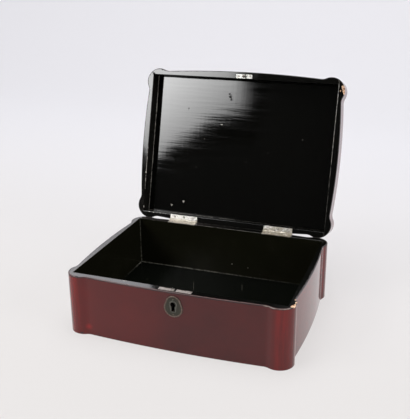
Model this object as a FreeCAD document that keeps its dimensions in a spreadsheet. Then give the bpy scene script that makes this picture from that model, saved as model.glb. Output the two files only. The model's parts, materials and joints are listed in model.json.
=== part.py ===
import FreeCAD, Part
import math
import os
import Sketcher
from FreeCAD import Placement, Rotation, Vector

# A lacquered wooden casket with a hinged lid, a mortise lock and two butt hinges.
# +X is the box's right, -Y its front, +Z up; the origin is the middle of the underside.
# The lid is drawn shut and then turned back about the hinge axis to where it rests.

os.makedirs("parts", exist_ok=True)
doc = FreeCAD.newDocument("casket")

# Driving sizes, in millimetres and degrees.
driving_sizes = {
    # outline, shared by body and lid
    "box_length": 300.0,          # over the corner lobes, along X
    "box_depth": 228.0,           # over the corner lobes, along Y
    "lobe_radius": 19.2,          # rounded corner lobes
    "cove_radius": 14.0,          # hollow between a lobe and a bowed side
    "front_bow_radius": 1630.0,   # front and back sides bow out
    "side_bow_radius": 900.0,
    "front_bow_proud": 0.9,       # how far a bow's middle stands past the lobes
    "side_bow_proud": 0.05,
    # body
    "body_height": 82.0,
    "front_wall": 12.0,           # front and back, at the middle of the bow
    "side_wall": 8.6,
    "bottom_thick": 9.0,
    "rabbet_width": 2.5,          # the bottom board sits this far into the walls
    # lid
    "lid_recess": 21.0,
    "lid_panel_thick": 7.0,
    "lid_front_rail": 10.0,       # front and back rails, at the middle of the bow
    "lid_side_rail": 9.2,
    "edge_round": 0.9,            # rounded outer edges where lid and body meet
    "top_round": 3.0,             # rounded edge round the lid's top
    "closed_gap": 0.3,            # between lid and body when shut
    "open_angle": 105.5,
    "hinge_inset": 1.85,          # hinge axis inside the middle of the back bow
    "stop_slack": 0.6,            # degrees between the stop bevels when the lid stands open
    "stop_reach": 8.0,            # size of the tool that planes a stop bevel
    # hinges
    "hinge_length": 43.0,
    "hinge_spacing": 147.0,
    "leaf_thick": 1.0,
    "leaf_edge_set": 0.1,         # leaf edge back from the inner face of the wall
    "hinge_pin_radius": 0.75,
    "pin_head_radius": 1.3,
    "pin_head_thick": 0.5,
    "running_gap": 0.05,          # radial, pin in knuckle
    "knuckle_end_gap": 0.15,
    "knuckle_relief": 0.3,        # round a knuckle, in wood and in the other leaf
    "hinge_screw_pitch": 14.5,
    "hinge_screw_head": 2.0,      # radius
    "hinge_screw_shank": 1.05,    # radius
    "hinge_screw_length": 9.0,
    # lock and link plate
    "lock_offset": 2.5,           # the lock stands this far right of the middle
    "lock_line_inset": 6.5,       # lock centre line behind the middle of the front bow
    "selvedge_length": 43.0,
    "selvedge_width": 6.4,
    "selvedge_thick": 1.2,
    "lock_screw_pitch": 37.0,
    "hook_slot_width": 3.0,
    "hook_slot_lip": 0.4,         # metal left in front of the slot
    "case_width": 32.0,
    "case_height": 27.0,
    "case_thick": 6.0,
    "case_sheet": 0.8,
    "keyhole_drop": 16.0,         # rim to the middle of the keyhole's round
    "keyhole_radius": 3.6,
    "key_slot_width": 4.4,
    "key_slot_drop": 9.2,         # from the middle of the round to the slot's foot
    "key_pin_radius": 0.9,
    "key_pin_set": 0.4,           # key pin's tip behind the case's front plate
    "bolt_travel": 4.5,
    "bolt_side_gap": 0.3,
    "bolt_bar_height": 4.4,
    "bolt_bar_drop": 9.2,         # rim to the top of the bolt's bar
    "bolt_bar_left": 11.0,
    "bolt_bar_right": 9.7,
    "bolt_arm_width": 4.0,
    "bolt_arm_drop": 3.4,         # rim to the top of the arm
    "bolt_nose_drop": 4.0,        # rim to the top of the nose
    "bolt_nose_height": 2.2,
    "bolt_nose_thick": 1.8,
    "bolt_nose_set": 1.6,         # nose tip short of the hook's middle when drawn back
    "talon_radius": 2.5,
    "talon_place": 2.25,          # left of the lock's middle
    "stump_radius": 0.9,
    "stump_place": 7.2,           # right of the lock's middle
    "stump_gap": 0.15,
    "spring_radius": 16.0,
    "spring_thick": 0.4,
    "spring_width": 3.0,
    "spring_gap": 0.2,            # spring to the bar it presses on
    "plate_length": 24.0,
    "plate_width": 5.8,
    "plate_thick": 1.0,
    "plate_screw_pitch": 17.4,
    "plate_screw_head": 1.6,      # radius, lock and link plate screws
    "plate_screw_shank": 0.85,    # radius
    "plate_screw_length": 8.0,
    "hook_thick": 1.6,
    "hook_width": 3.6,
    "hook_length": 8.6,
    "hook_tenon_width": 2.6,
    "hook_window_drop": 3.6,
    "hook_window_height": 3.4,
    "hook_window_width": 2.4,
    "hook_round": 0.8,
    # escutcheon
    "shield_top_radius": 10.0,
    "shield_low_radius": 12.3,
    "shield_top_rise": 1.8,       # centre of the top round above the keyhole's round
    "shield_low_drop": 4.7,
    "shield_field_thick": 0.6,
    "shield_rim_thick": 1.2,
    "shield_rim_width": 2.0,
    "shield_lip_thick": 1.3,
    "shield_lip_top": 5.3,        # radius
    "shield_lip_low": 4.4,        # radius
    "shield_lip_drop": 6.6,       # centre of the lip's lower round
    "shield_bevel": 0.5,
    "shield_pin_head": 0.9,       # radius
    "shield_pin_shank": 0.5,      # radius
    "shield_pin_length": 2.6,
    # clearances for pieces that are glued, screwed or let in
    "seat_gap": 0.05,
    "let_in_gap": 0.1,
    "slot_width": 0.6,            # screwdriver slots
    "slot_depth": 0.45,
}

# Sizes and places that follow from the driving ones.
worked_sizes = {
    "half_length": "dim.box_length / 2",
    "half_depth": "dim.box_depth / 2",
    "front_y": "half_depth + dim.front_bow_proud",
    "side_x": "half_length + dim.side_bow_proud",
    "front_bow_y": "front_y - dim.front_bow_radius",
    "side_bow_x": "side_x - dim.side_bow_radius",
    "lobe_x": "half_length - dim.lobe_radius",
    "lobe_y": "half_depth - dim.lobe_radius",
    "inner_x": "side_x - dim.side_wall",
    "inner_y": "front_y - dim.front_wall",
    "lid_inner_x": "side_x - dim.lid_side_rail",
    "lid_inner_y": "front_y - dim.lid_front_rail",
    "lid_rim_z": "dim.body_height + dim.closed_gap",
    "lid_height": "dim.lid_recess + dim.lid_panel_thick",
    "panel_z": "lid_rim_z + dim.lid_recess",
    "mitre_reach": "dim.front_wall + dim.side_wall + 2 * dim.lobe_radius",
    "axis_y": "front_y - dim.hinge_inset",
    "axis_z": "dim.body_height + dim.closed_gap / 2",
    "lid_turn_y": "axis_y - axis_y * cos(dim.open_angle) - axis_z * sin(dim.open_angle)",
    "lid_turn_z": "axis_z + axis_y * sin(dim.open_angle) - axis_z * cos(dim.open_angle)",
    "knuckle_radius": "dim.hinge_pin_radius + dim.running_gap + dim.leaf_thick",
    "knuckle_span": "dim.hinge_length / 5",
    "body_leaf_width": "axis_y - inner_y - dim.leaf_edge_set",
    "lid_leaf_width": "axis_y - lid_inner_y - dim.leaf_edge_set",
    "leaf_root": "knuckle_radius + dim.knuckle_relief",
    "stop_bevel": "(dim.open_angle + dim.stop_slack) / 2",
    "body_screw_line": "(body_leaf_width + leaf_root) / 2",
    "lid_screw_line": "(lid_leaf_width + leaf_root) / 2",
    "lock_y": "front_y - dim.lock_line_inset",
    "keyhole_z": "dim.body_height - dim.keyhole_drop",
    "case_top": "dim.body_height - dim.selvedge_thick",
    "case_half_width": "dim.case_width / 2",
    "cavity_half_width": "case_half_width - dim.case_sheet",
    "cavity_half_thick": "dim.case_thick / 2 - dim.case_sheet",
    "bar_top": "0 - dim.bolt_bar_drop",
    "shield_inner_top": "dim.shield_top_radius - dim.shield_rim_width",
    "shield_inner_low": "dim.shield_low_radius - dim.shield_rim_width",
    "pin_rise": "(dim.shield_lip_top + dim.shield_top_rise + shield_inner_top) / 2",
    "pin_drop": "(dim.shield_lip_drop + dim.shield_lip_low + dim.shield_low_drop + shield_inner_low) / 2",
    "link_open_y": "axis_y - (lock_y + axis_y) * cos(dim.open_angle)"
                   " + dim.closed_gap / 2 * sin(dim.open_angle)",
    "link_open_z": "axis_z + (lock_y + axis_y) * sin(dim.open_angle)"
                   " + dim.closed_gap / 2 * cos(dim.open_angle)",
}

dim = doc.addObject("Spreadsheet::Sheet", "dim")
for row, (name, value) in enumerate(driving_sizes.items(), start=1):
    dim.set("A%d" % row, name)
    dim.set("B%d" % row, "%g" % value)
    dim.setAlias("B%d" % row, name)
calc = doc.addObject("Spreadsheet::Sheet", "calc")
for row, (name, formula) in enumerate(worked_sizes.items(), start=1):
    calc.set("A%d" % row, name)
    calc.set("B%d" % row, "=" + formula)
    calc.setAlias("B%d" % row, name)
doc.recompute()


def size(name):
    """A driving or worked-out size as a number."""
    sheet = dim if name in driving_sizes else calc
    return float(sheet.get(name))


def formula_of(name):
    return ("dim." if name in driving_sizes else "calc.") + name


# ---- helpers -------------------------------------------------------------

def place(obj, x="0", y="0", z="0"):
    for axis, formula in zip("xyz", (x, y, z)):
        obj.setExpression("Placement.Base." + axis, formula)


def block(name, length, width, height, x, y, z):
    """A box whose sizes and lowest corner are formulas."""
    obj = doc.addObject("Part::Box", name)
    for prop, formula in zip(("Length", "Width", "Height"), (length, width, height)):
        obj.setExpression(prop, formula)
    place(obj, x, y, z)
    return obj


def rod(name, radius, length, turn, x, y, z):
    """A cylinder turned from +Z to another direction, starting at a point."""
    obj = doc.addObject("Part::Cylinder", name)
    obj.setExpression("Radius", radius)
    obj.setExpression("Height", length)
    obj.Placement = Placement(Vector(), turn)
    place(obj, x, y, z)
    return obj


ALONG_X = Rotation(Vector(0, 1, 0), 90)
ALONG_Y = Rotation(Vector(1, 0, 0), -90)
UPWARD = Rotation()
DOWNWARD = Rotation(Vector(1, 0, 0), 180)


def fuse(name, pieces):
    obj = doc.addObject("Part::MultiFuse", name)
    obj.Shapes = pieces
    return obj


def cut(name, base, tool):
    obj = doc.addObject("Part::Cut", name)
    obj.Base = base
    obj.Tool = tool
    return obj


def common(name, base, tool):
    obj = doc.addObject("Part::Common", name)
    obj.Base = base
    obj.Tool = tool
    return obj


def new_body(name):
    return doc.addObject("PartDesign::Body", name)


def new_sketch(body, role, name, lift="0"):
    """A sketch on one of the body's own planes, lifted along the plane's normal."""
    sketch = body.newObject("Sketcher::SketchObject", name)
    plane = next(f for f in body.Origin.OriginFeatures if f.Role == role)
    sketch.AttachmentSupport = [(plane, "")]
    sketch.MapMode = "FlatFace"
    sketch.setExpression("AttachmentOffset.Base.z", lift)
    return sketch


def shift(sketch, x="0", y="0"):
    sketch.setExpression("AttachmentOffset.Base.x", x)
    sketch.setExpression("AttachmentOffset.Base.y", y)


def dimension(sketch, name, formula, *constraint):
    """A dimension of the sketch that follows a formula."""
    index = sketch.addConstraint(Sketcher.Constraint(*constraint))
    sketch.renameConstraint(index, name)
    sketch.setExpression("Constraints." + name, formula)


def draw_rectangle(sketch, width, height):
    """A rectangle about the sketch's origin."""
    first = sketch.GeometryCount
    corners = [Vector(-1, -1, 0), Vector(1, -1, 0), Vector(1, 1, 0), Vector(-1, 1, 0)]
    for k in range(4):
        sketch.addGeometry(Part.LineSegment(corners[k], corners[(k + 1) % 4]))
    for k in range(4):
        sketch.addConstraint(Sketcher.Constraint("Coincident", first + k, 2, first + (k + 1) % 4, 1))
    sketch.addConstraint(Sketcher.Constraint("Horizontal", first))
    sketch.addConstraint(Sketcher.Constraint("Horizontal", first + 2))
    sketch.addConstraint(Sketcher.Constraint("Vertical", first + 1))
    sketch.addConstraint(Sketcher.Constraint("Vertical", first + 3))
    sketch.addConstraint(Sketcher.Constraint("Symmetric", first, 1, first + 1, 2, -1, 1))
    dimension(sketch, "wide", width, "DistanceX", first, 1, first, 2, 2.0)
    dimension(sketch, "tall", height, "DistanceY", first + 1, 1, first + 1, 2, 2.0)


def draw_circle(sketch, radius):
    index = sketch.addGeometry(Part.Circle(Vector(), Vector(0, 0, 1), 1.0))
    sketch.addConstraint(Sketcher.Constraint("Coincident", index, 3, -1, 1))
    dimension(sketch, "disc", radius, "Radius", index, 1.0)


def set_centre(sketch, index, x, y, tag, x_formula=None, y_formula=None):
    """Tie an arc's centre to the sketch's origin; a missing formula means on the axis."""
    for kind, axis, value, formula in (("DistanceX", -2, x, x_formula), ("DistanceY", -1, y, y_formula)):
        if formula is None:
            sketch.addConstraint(Sketcher.Constraint("PointOnObject", index, 3, axis))
            continue
        ends = (-1, 1, index, 3) if value > 0 else (index, 3, -1, 1)
        dimension(sketch, tag + kind[-1].lower(), formula, kind, *ends, abs(value))


def draw_arcs(sketch, rounds):
    """A closed run of tangent arcs, anticlockwise.

    Each round is (centre, radius, bulges out); neighbours touch on the line of their centres.
    """
    count = len(rounds)
    joints = []
    for k in range(count):
        centre, radius, outward = rounds[k]
        towards = rounds[(k + 1) % count][0]
        joints.append(centre + (towards - centre).normalize() * radius)
    first = sketch.GeometryCount
    for k in range(count):
        centre, radius, outward = rounds[k]
        enter, leave = joints[k - 1], joints[k]
        start, end = (enter, leave) if outward else (leave, enter)
        angles = [math.atan2(p.y - centre.y, p.x - centre.x) for p in (start, end)]
        circle = Part.Circle(centre, Vector(0, 0, 1), radius)
        sketch.addGeometry(Part.ArcOfCircle(circle, angles[0], angles[1]))
    for k in range(count):
        after = (k + 1) % count
        leaving = 2 if rounds[k][2] else 1
        entering = 1 if rounds[after][2] else 2
        sketch.addConstraint(Sketcher.Constraint("Tangent", first + k, leaving, first + after, entering))
    return first


def touching_centre(a, radius_a, b, radius_b, radius):
    """Centre of a circle outside two others that touches both, nearer the origin."""
    span = (b - a).Length
    along = ((radius_a + radius) ** 2 - (radius_b + radius) ** 2 + span ** 2) / (2 * span)
    across = math.sqrt((radius_a + radius) ** 2 - along ** 2)
    forward = (b - a).normalize()
    left = Vector(-forward.y, forward.x, 0)
    choices = [a + forward * along + left * side * across for side in (1, -1)]
    return min(choices, key=lambda p: p.Length)


def draw_outline(sketch):
    """The serpentine plan: bowed sides, a lobe at each corner, a cove each side of a lobe."""
    back = Vector(0, size("front_bow_y"), 0)
    side = Vector(size("side_bow_x"), 0, 0)
    lobe = Vector(size("lobe_x"), size("lobe_y"), 0)
    back_radius, side_radius = size("front_bow_radius"), size("side_bow_radius")
    lobe_radius, cove_radius = size("lobe_radius"), size("cove_radius")
    back_cove = touching_centre(back, back_radius, lobe, lobe_radius, cove_radius)
    side_cove = touching_centre(side, side_radius, lobe, lobe_radius, cove_radius)
    corner = [("cove", side_cove), ("lobe", lobe), ("cove", back_cove)]
    run = []
    for sign_x, sign_y in ((1, 1), (-1, 1), (-1, -1), (1, -1)):
        pieces = corner if sign_x == sign_y else corner[::-1]
        run += [(kind, Vector(p.x * sign_x, p.y * sign_y, 0)) for kind, p in pieces]
        if sign_x == sign_y:
            run.append(("back", Vector(0, back.y * sign_y, 0)))
        else:
            run.append(("side", Vector(side.x * sign_x, 0, 0)))
    # the second quadrant ends at the left bow, the fourth at the right one
    radii = {"cove": cove_radius, "lobe": lobe_radius, "back": back_radius, "side": side_radius}
    first = draw_arcs(sketch, [(p, radii[kind], kind != "cove") for kind, p in run])
    formulas = {"cove": "dim.cove_radius", "lobe": "dim.lobe_radius",
                "back": "dim.front_bow_radius", "side": "dim.side_bow_radius"}
    bow_y, bow_x = "abs(calc.front_bow_y)", "abs(calc.side_bow_x)"
    leader = {}
    for k, (kind, p) in enumerate(run):
        index = first + k
        if kind in leader:
            sketch.addConstraint(Sketcher.Constraint("Equal", leader[kind], index))
        else:
            leader[kind] = index
            dimension(sketch, kind + "_round", formulas[kind], "Radius", index, radii[kind])
        if kind == "lobe":
            set_centre(sketch, index, p.x, p.y, "lobe%d" % k, "calc.lobe_x", "calc.lobe_y")
        elif kind == "back":
            set_centre(sketch, index, p.x, p.y, "bow%d" % k, None, bow_y)
        elif kind == "side":
            set_centre(sketch, index, p.x, p.y, "bow%d" % k, bow_x, None)


def draw_pear(sketch, top_radius, low_radius, rise, drop):
    """Two rounds one above the other, joined by their tangents.

    The sizes are given by name; with no rise the upper round is about the sketch's origin.
    """
    top_r, low_r, down = size(top_radius), size(low_radius), size(drop)
    up = size(rise) if rise else 0
    lean = math.asin((low_r - top_r) / (up + down))
    top, low = Vector(0, up, 0), Vector(0, -down, 0)
    first = sketch.GeometryCount

    def on(centre, radius, angle):
        return centre + Vector(math.cos(angle), math.sin(angle), 0) * radius

    axis = Vector(0, 0, 1)
    left, right = math.pi - lean, lean
    sketch.addGeometry(Part.ArcOfCircle(Part.Circle(top, axis, top_r), right, left))
    sketch.addGeometry(Part.LineSegment(on(top, top_r, left), on(low, low_r, left)))
    sketch.addGeometry(Part.ArcOfCircle(Part.Circle(low, axis, low_r), left, right + 2 * math.pi))
    sketch.addGeometry(Part.LineSegment(on(low, low_r, right), on(top, top_r, right)))
    for k in range(4):
        sketch.addConstraint(Sketcher.Constraint("Tangent", first + k, 2, first + (k + 1) % 4, 1))
    dimension(sketch, "top%d" % first, formula_of(top_radius), "Radius", first, top_r)
    dimension(sketch, "low%d" % first, formula_of(low_radius), "Radius", first + 2, low_r)
    set_centre(sketch, first, 0, up, "rise%d" % first, None, formula_of(rise) if rise else None)
    set_centre(sketch, first + 2, 0, -down, "drop%d" % first, None, formula_of(drop))


def pad(body, sketch, length, name, both_ways=False, backward=False):
    feature = body.newObject("PartDesign::Pad", name)
    feature.Profile = sketch
    feature.setExpression("Length", length)
    if both_ways:
        feature.SideType = "Symmetric"
    feature.Reversed = backward
    sketch.Visibility = False
    return feature


def pocket(body, sketch, name, depth=None, backward=False):
    """A pocket right through both ways, or to a depth."""
    feature = body.newObject("PartDesign::Pocket", name)
    feature.Profile = sketch
    if depth is None:
        feature.Type = "ThroughAll"
        feature.SideType = "Symmetric"
    else:
        feature.setExpression("Length", depth)
        feature.Reversed = backward
    return feature


def pattern(body, feature, sketch, count, length):
    """Copies of a feature along its sketch's horizontal axis."""
    row = body.newObject("PartDesign::LinearPattern", feature.Name + "_row")
    row.Originals = [feature]
    row.Direction = (sketch, ["H_Axis"])
    row.Occurrences = count
    row.setExpression("Length", length)
    body.Tip = row
    return row


def level_edges(shape, level, axis="Z"):
    """Names of the edges that lie in one level plane."""
    names = []
    for index, edge in enumerate(shape.Edges, start=1):
        ends = [getattr(edge.BoundBox, axis + end) for end in ("Min", "Max")]
        if max(abs(end - level) for end in ends) < 1e-4:
            names.append("Edge%d" % index)
    return names


def fillet(body, base, edges, radius, name):
    feature = body.newObject("PartDesign::Fillet", name)
    feature.Base = (base, edges)
    feature.setExpression("Radius", radius)
    return feature


def chamfer(body, base, edges, width, name):
    feature = body.newObject("PartDesign::Chamfer", name)
    feature.Base = (base, edges)
    feature.setExpression("Size", width)
    return feature


def turn_with_lid(obj):
    """Turn a piece drawn with the lid shut to where the open lid rests."""
    obj.Placement = Placement(Vector(), Rotation(Vector(1, 0, 0), -1))
    obj.setExpression("Placement.Rotation.Angle", "-dim.open_angle")
    place(obj, "0", "calc.lid_turn_y", "calc.lid_turn_z")


# ---- the two blanks that body and lid are cut from -------------------------

def blank(name, z, height, roundings):
    """A solid of the outline's plan, with rounded outer edges at some heights."""
    body = new_body(name)
    sketch = new_sketch(body, "XY_Plane", name + "_plan", z)
    draw_outline(sketch)
    feature = pad(body, sketch, height, name + "_pad")
    doc.recompute()
    for k, (level, radius) in enumerate(roundings):
        doc.recompute()
        edges = level_edges(feature.Shape, level)
        feature = fillet(body, feature, edges, radius, "%s_round_%d" % (name, k))
    doc.recompute()
    return body


body_blank = blank("body_blank", "0", "dim.body_height", [(size("body_height"), "dim.edge_round")])
lid_top_z = size("lid_rim_z") + size("lid_height")
lid_blank = blank("lid_blank", "calc.lid_rim_z", "calc.lid_height",
                  [(size("lid_rim_z"), "dim.edge_round"), (lid_top_z, "dim.top_round")])


def mitre_wedge(name, half_inner, inner, z, height, turn):
    """The room of one wall: its inner face and its two mitred ends at 45 degrees."""
    wedge = doc.addObject("Part::Wedge", name)
    reach = "calc.mitre_reach"
    formulas = {
        "Xmin": "-%s - %s" % (half_inner, reach), "Xmax": "%s + %s" % (half_inner, reach),
        "X2min": "-" + half_inner, "X2max": half_inner,
        "Ymin": "-%s - %s" % (inner, reach), "Ymax": "-" + inner,
        "Zmin": "0", "Zmax": height, "Z2min": "0", "Z2max": height,
    }
    for prop, formula in formulas.items():
        wedge.setExpression(prop, formula)
    wedge.Placement = Placement(Vector(), Rotation(Vector(0, 0, 1), turn))
    place(wedge, "0", "0", z)
    return wedge


# ---- shared tools: rooms for the hinges, the lock and their screws ---------

hinge_sides = {"left": "-dim.hinge_spacing / 2", "right": "dim.hinge_spacing / 2"}
screw_steps = (-1, 0, 1)


def hinge_room(side, part):
    """Wood taken out for one hinge: its leaf, its knuckles and its screws."""
    x = hinge_sides[side]
    name = "%s_%s_hinge" % (part, side)
    half = "(dim.hinge_length / 2 + dim.let_in_gap)"
    sink = "(dim.leaf_thick + dim.seat_gap)"
    inner = "calc.inner_y" if part == "body" else "calc.lid_inner_y"
    line = "calc.%s_screw_line" % part
    bottom = "dim.body_height - " + sink if part == "body" else "calc.lid_rim_z"
    reach = "(dim.front_wall + dim.lid_front_rail)"
    leaf_room = block(name + "_leaf_room", "2 * " + half, reach, sink,
                      "%s - %s" % (x, half), inner + " - dim.edge_round", bottom)
    head_room = "(dim.pin_head_thick + dim.knuckle_relief)"
    knuckle_room = rod(name + "_knuckle_room", "calc.knuckle_radius + dim.knuckle_relief",
                       "dim.hinge_length + 2 * " + head_room, ALONG_X,
                       "%s - dim.hinge_length / 2 - %s" % (x, head_room), "calc.axis_y", "calc.axis_z")
    pieces = [leaf_room, knuckle_room]
    turn, face = (DOWNWARD, "dim.body_height") if part == "body" else (UPWARD, "calc.lid_rim_z")
    for step in screw_steps:
        pieces.append(rod("%s_screw_room_%d" % (name, step + 2), "dim.hinge_screw_shank + dim.seat_gap",
                          "dim.hinge_screw_length + dim.let_in_gap", turn,
                          "%s + %d * dim.hinge_screw_pitch" % (x, step), "calc.axis_y - " + line, face))
    return pieces


def stop_room(name, angle):
    """Wood planed off outside the hinge axis; the two faces left meet as the lid's stop."""
    room = block(name, "2 * calc.side_x", "dim.stop_reach", "dim.stop_reach", "0", "0", "0")
    room.Placement = Placement(Vector(), Rotation(Vector(1, 0, 0), -1))
    room.setExpression("Placement.Rotation.Angle", angle)
    place(room, "-calc.side_x", "calc.axis_y", "calc.axis_z")
    return room


def plate_screw_rooms(name, pitch, turn, z):
    """Two screw holes at the ends of the selvedge or the link plate."""
    return [rod("%s_screw_room_%d" % (name, k + 1), "dim.plate_screw_shank + dim.seat_gap",
                "dim.plate_screw_length + dim.let_in_gap", turn,
                "dim.lock_offset + %d * %s / 2" % (sign, pitch), "-calc.lock_y", z)
            for k, sign in enumerate((-1, 1))]


bottom_room = block("bottom_room",
                    "2 * (calc.inner_x + dim.rabbet_width)", "2 * (calc.inner_y + dim.rabbet_width)",
                    "dim.bottom_thick", "-calc.inner_x - dim.rabbet_width",
                    "-calc.inner_y - dim.rabbet_width", "0")

selvedge_room = block("selvedge_room",
                      "dim.selvedge_length + 2 * dim.let_in_gap", "dim.selvedge_width + 2 * dim.let_in_gap",
                      "dim.selvedge_thick + dim.seat_gap",
                      "dim.lock_offset - dim.selvedge_length / 2 - dim.let_in_gap",
                      "-calc.lock_y - dim.selvedge_width / 2 - dim.let_in_gap",
                      "dim.body_height - dim.selvedge_thick - dim.seat_gap")
case_room = block("case_room",
                  "dim.case_width + 2 * dim.let_in_gap", "dim.case_thick + 2 * dim.let_in_gap",
                  "dim.case_height + dim.selvedge_thick + dim.let_in_gap",
                  "dim.lock_offset - calc.case_half_width - dim.let_in_gap",
                  "-calc.lock_y - dim.case_thick / 2 - dim.let_in_gap",
                  "calc.case_top - dim.case_height - dim.let_in_gap")
keyhole_round = rod("keyhole_round", "dim.keyhole_radius + dim.seat_gap",
                    "dim.lock_line_inset", ALONG_Y,
                    "dim.lock_offset", "-calc.front_y - dim.seat_gap", "calc.keyhole_z")
keyhole_slot = block("keyhole_slot",
                     "dim.key_slot_width + 2 * dim.seat_gap", "dim.lock_line_inset",
                     "dim.key_slot_drop + dim.seat_gap",
                     "dim.lock_offset - dim.key_slot_width / 2 - dim.seat_gap",
                     "-calc.front_y - dim.seat_gap",
                     "calc.keyhole_z - dim.key_slot_drop - dim.seat_gap")
shield_pin_heights = {"top": "calc.pin_rise", "low": "-calc.pin_drop"}
shield_pin_rooms = [rod("shield_pin_room_" + key, "dim.shield_pin_shank + dim.seat_gap",
                        "dim.shield_pin_length + dim.let_in_gap", ALONG_Y,
                        "dim.lock_offset", "-calc.front_y - dim.seat_gap", "calc.keyhole_z + " + height)
                    for key, height in shield_pin_heights.items()]
plate_room = block("plate_room",
                   "dim.plate_length + 2 * dim.let_in_gap", "dim.plate_width + 2 * dim.let_in_gap",
                   "dim.plate_thick + dim.seat_gap",
                   "dim.lock_offset - dim.plate_length / 2 - dim.let_in_gap",
                   "-calc.lock_y - dim.plate_width / 2 - dim.let_in_gap", "calc.lid_rim_z")

# ---- body: four mitred walls and the bottom board ---------------------------

parts = []
turns = {"front": 0, "right": 90, "back": 180, "left": -90}
wall_rooms = {
    "front": [bottom_room, selvedge_room, case_room, keyhole_round, keyhole_slot] + shield_pin_rooms
    + plate_screw_rooms("lock", "dim.lock_screw_pitch", DOWNWARD, "dim.body_height"),
    "right": [bottom_room],
    "back": [bottom_room, stop_room("body_stop_room", "-calc.stop_bevel")]
    + hinge_room("left", "body") + hinge_room("right", "body"),
    "left": [bottom_room],
}
for side, turn in turns.items():
    long_side = side in ("front", "back")
    half_inner, inner = ("calc.inner_x", "calc.inner_y") if long_side else ("calc.inner_y", "calc.inner_x")
    wedge = mitre_wedge(side + "_wall_wedge", half_inner, inner, "0", "dim.body_height", turn)
    rough = common(side + "_wall_rough", body_blank, wedge)
    rooms = wall_rooms[side]
    tool = rooms[0] if len(rooms) == 1 else fuse(side + "_wall_rooms", rooms)
    parts.append(cut(side + "_wall", rough, tool))

parts.append(block("bottom_board",
                   "2 * (calc.inner_x + dim.rabbet_width - dim.let_in_gap)",
                   "2 * (calc.inner_y + dim.rabbet_width - dim.let_in_gap)",
                   "dim.bottom_thick - dim.seat_gap",
                   "dim.let_in_gap - calc.inner_x - dim.rabbet_width",
                   "dim.let_in_gap - calc.inner_y - dim.rabbet_width", "0"))

# ---- lid: four mitred rails under a top panel -------------------------------

rail_rooms = {
    "front": [plate_room] + plate_screw_rooms("link", "dim.plate_screw_pitch", UPWARD, "calc.lid_rim_z"),
    "right": [],
    "back": [stop_room("lid_stop_room", "calc.stop_bevel - 90")]
    + hinge_room("left", "lid") + hinge_room("right", "lid"),
    "left": [],
}
for side, turn in turns.items():
    long_side = side in ("front", "back")
    half_inner, inner = (("calc.lid_inner_x", "calc.lid_inner_y") if long_side
                         else ("calc.lid_inner_y", "calc.lid_inner_x"))
    wedge = mitre_wedge("lid_%s_wedge" % side, half_inner, inner, "calc.lid_rim_z", "dim.lid_recess", turn)
    name = "lid_%s_rail" % side
    if rail_rooms[side]:
        rail = cut(name, common(name + "_rough", lid_blank, wedge), fuse(name + "_rooms", rail_rooms[side]))
    else:
        rail = common(name, lid_blank, wedge)
    turn_with_lid(rail)
    parts.append(rail)

panel_room = block("panel_room", "2 * calc.side_x", "2 * calc.front_y", "dim.lid_panel_thick",
                   "-calc.side_x", "-calc.front_y", "calc.panel_z")
lid_panel = common("lid_panel", lid_blank, panel_room)
turn_with_lid(lid_panel)
parts.append(lid_panel)

# ---- hinges ------------------------------------------------------------------

def hinge_leaf(name, part, side):
    """One leaf with its knuckles, drawn about the hinge axis; the leaf runs to -Y.

    The body's leaf lies under the axis and has three knuckles, the lid's lies over it and has two.
    """
    body = new_body(name)
    upper = part == "lid"
    width = "calc.%s_leaf_width" % part
    low_face = "dim.closed_gap / 2" if upper else "-dim.closed_gap / 2 - dim.leaf_thick"
    plate = new_sketch(body, "XY_Plane", name + "_plate", low_face)
    shift(plate, "0", "-%s / 2" % width)
    draw_rectangle(plate, "dim.hinge_length", width)
    pad(body, plate, "dim.leaf_thick", name + "_leaf")
    barrel = new_sketch(body, "YZ_Plane", name + "_barrel")
    draw_circle(barrel, "calc.knuckle_radius")
    pad(body, barrel, "dim.hinge_length", name + "_knuckles", both_ways=True)
    gap = new_sketch(body, "XY_Plane", name + "_gap")
    first_gap, count = ("-2 * calc.knuckle_span", 3) if upper else ("-1 * calc.knuckle_span", 2)
    shift(gap, first_gap)
    draw_rectangle(gap, "calc.knuckle_span + 2 * dim.knuckle_end_gap", "2 * calc.leaf_root")
    notch = pocket(body, gap, name + "_notch")
    pattern(body, notch, gap, count, "%d * calc.knuckle_span" % (2 * (count - 1)))
    bore = new_sketch(body, "YZ_Plane", name + "_bore")
    draw_circle(bore, "dim.hinge_pin_radius + dim.running_gap")
    pocket(body, bore, name + "_pin_hole")
    doc.recompute()
    outer_face = "dim.closed_gap / 2" if upper else "-dim.closed_gap / 2"
    spots = new_sketch(body, "XY_Plane", name + "_screw_spots", outer_face)
    for step in screw_steps:
        spot = spots.addGeometry(Part.Circle(Vector(10 * step, -5, 0), Vector(0, 0, 1), 1.0))
        dimension(spots, "line%d" % spot, "calc.%s_screw_line" % part, "DistanceY", spot, 3, -1, 1, 5.0)
        if step:
            ends = (-1, 1, spot, 3) if step > 0 else (spot, 3, -1, 1)
            dimension(spots, "step%d" % spot, "dim.hinge_screw_pitch", "DistanceX", *ends, 10.0)
        else:
            spots.addConstraint(Sketcher.Constraint("PointOnObject", spot, 3, -2))
    countersink(body, spots, name + "_holes", "dim.hinge_screw_shank", "dim.hinge_screw_head", upper)
    body.Placement = Placement(Vector(), Rotation(Vector(1, 0, 0), -1))
    body.setExpression("Placement.Rotation.Angle", "-dim.open_angle" if upper else "0")
    place(body, hinge_sides[side], "calc.axis_y", "calc.axis_z")
    return body


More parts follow.
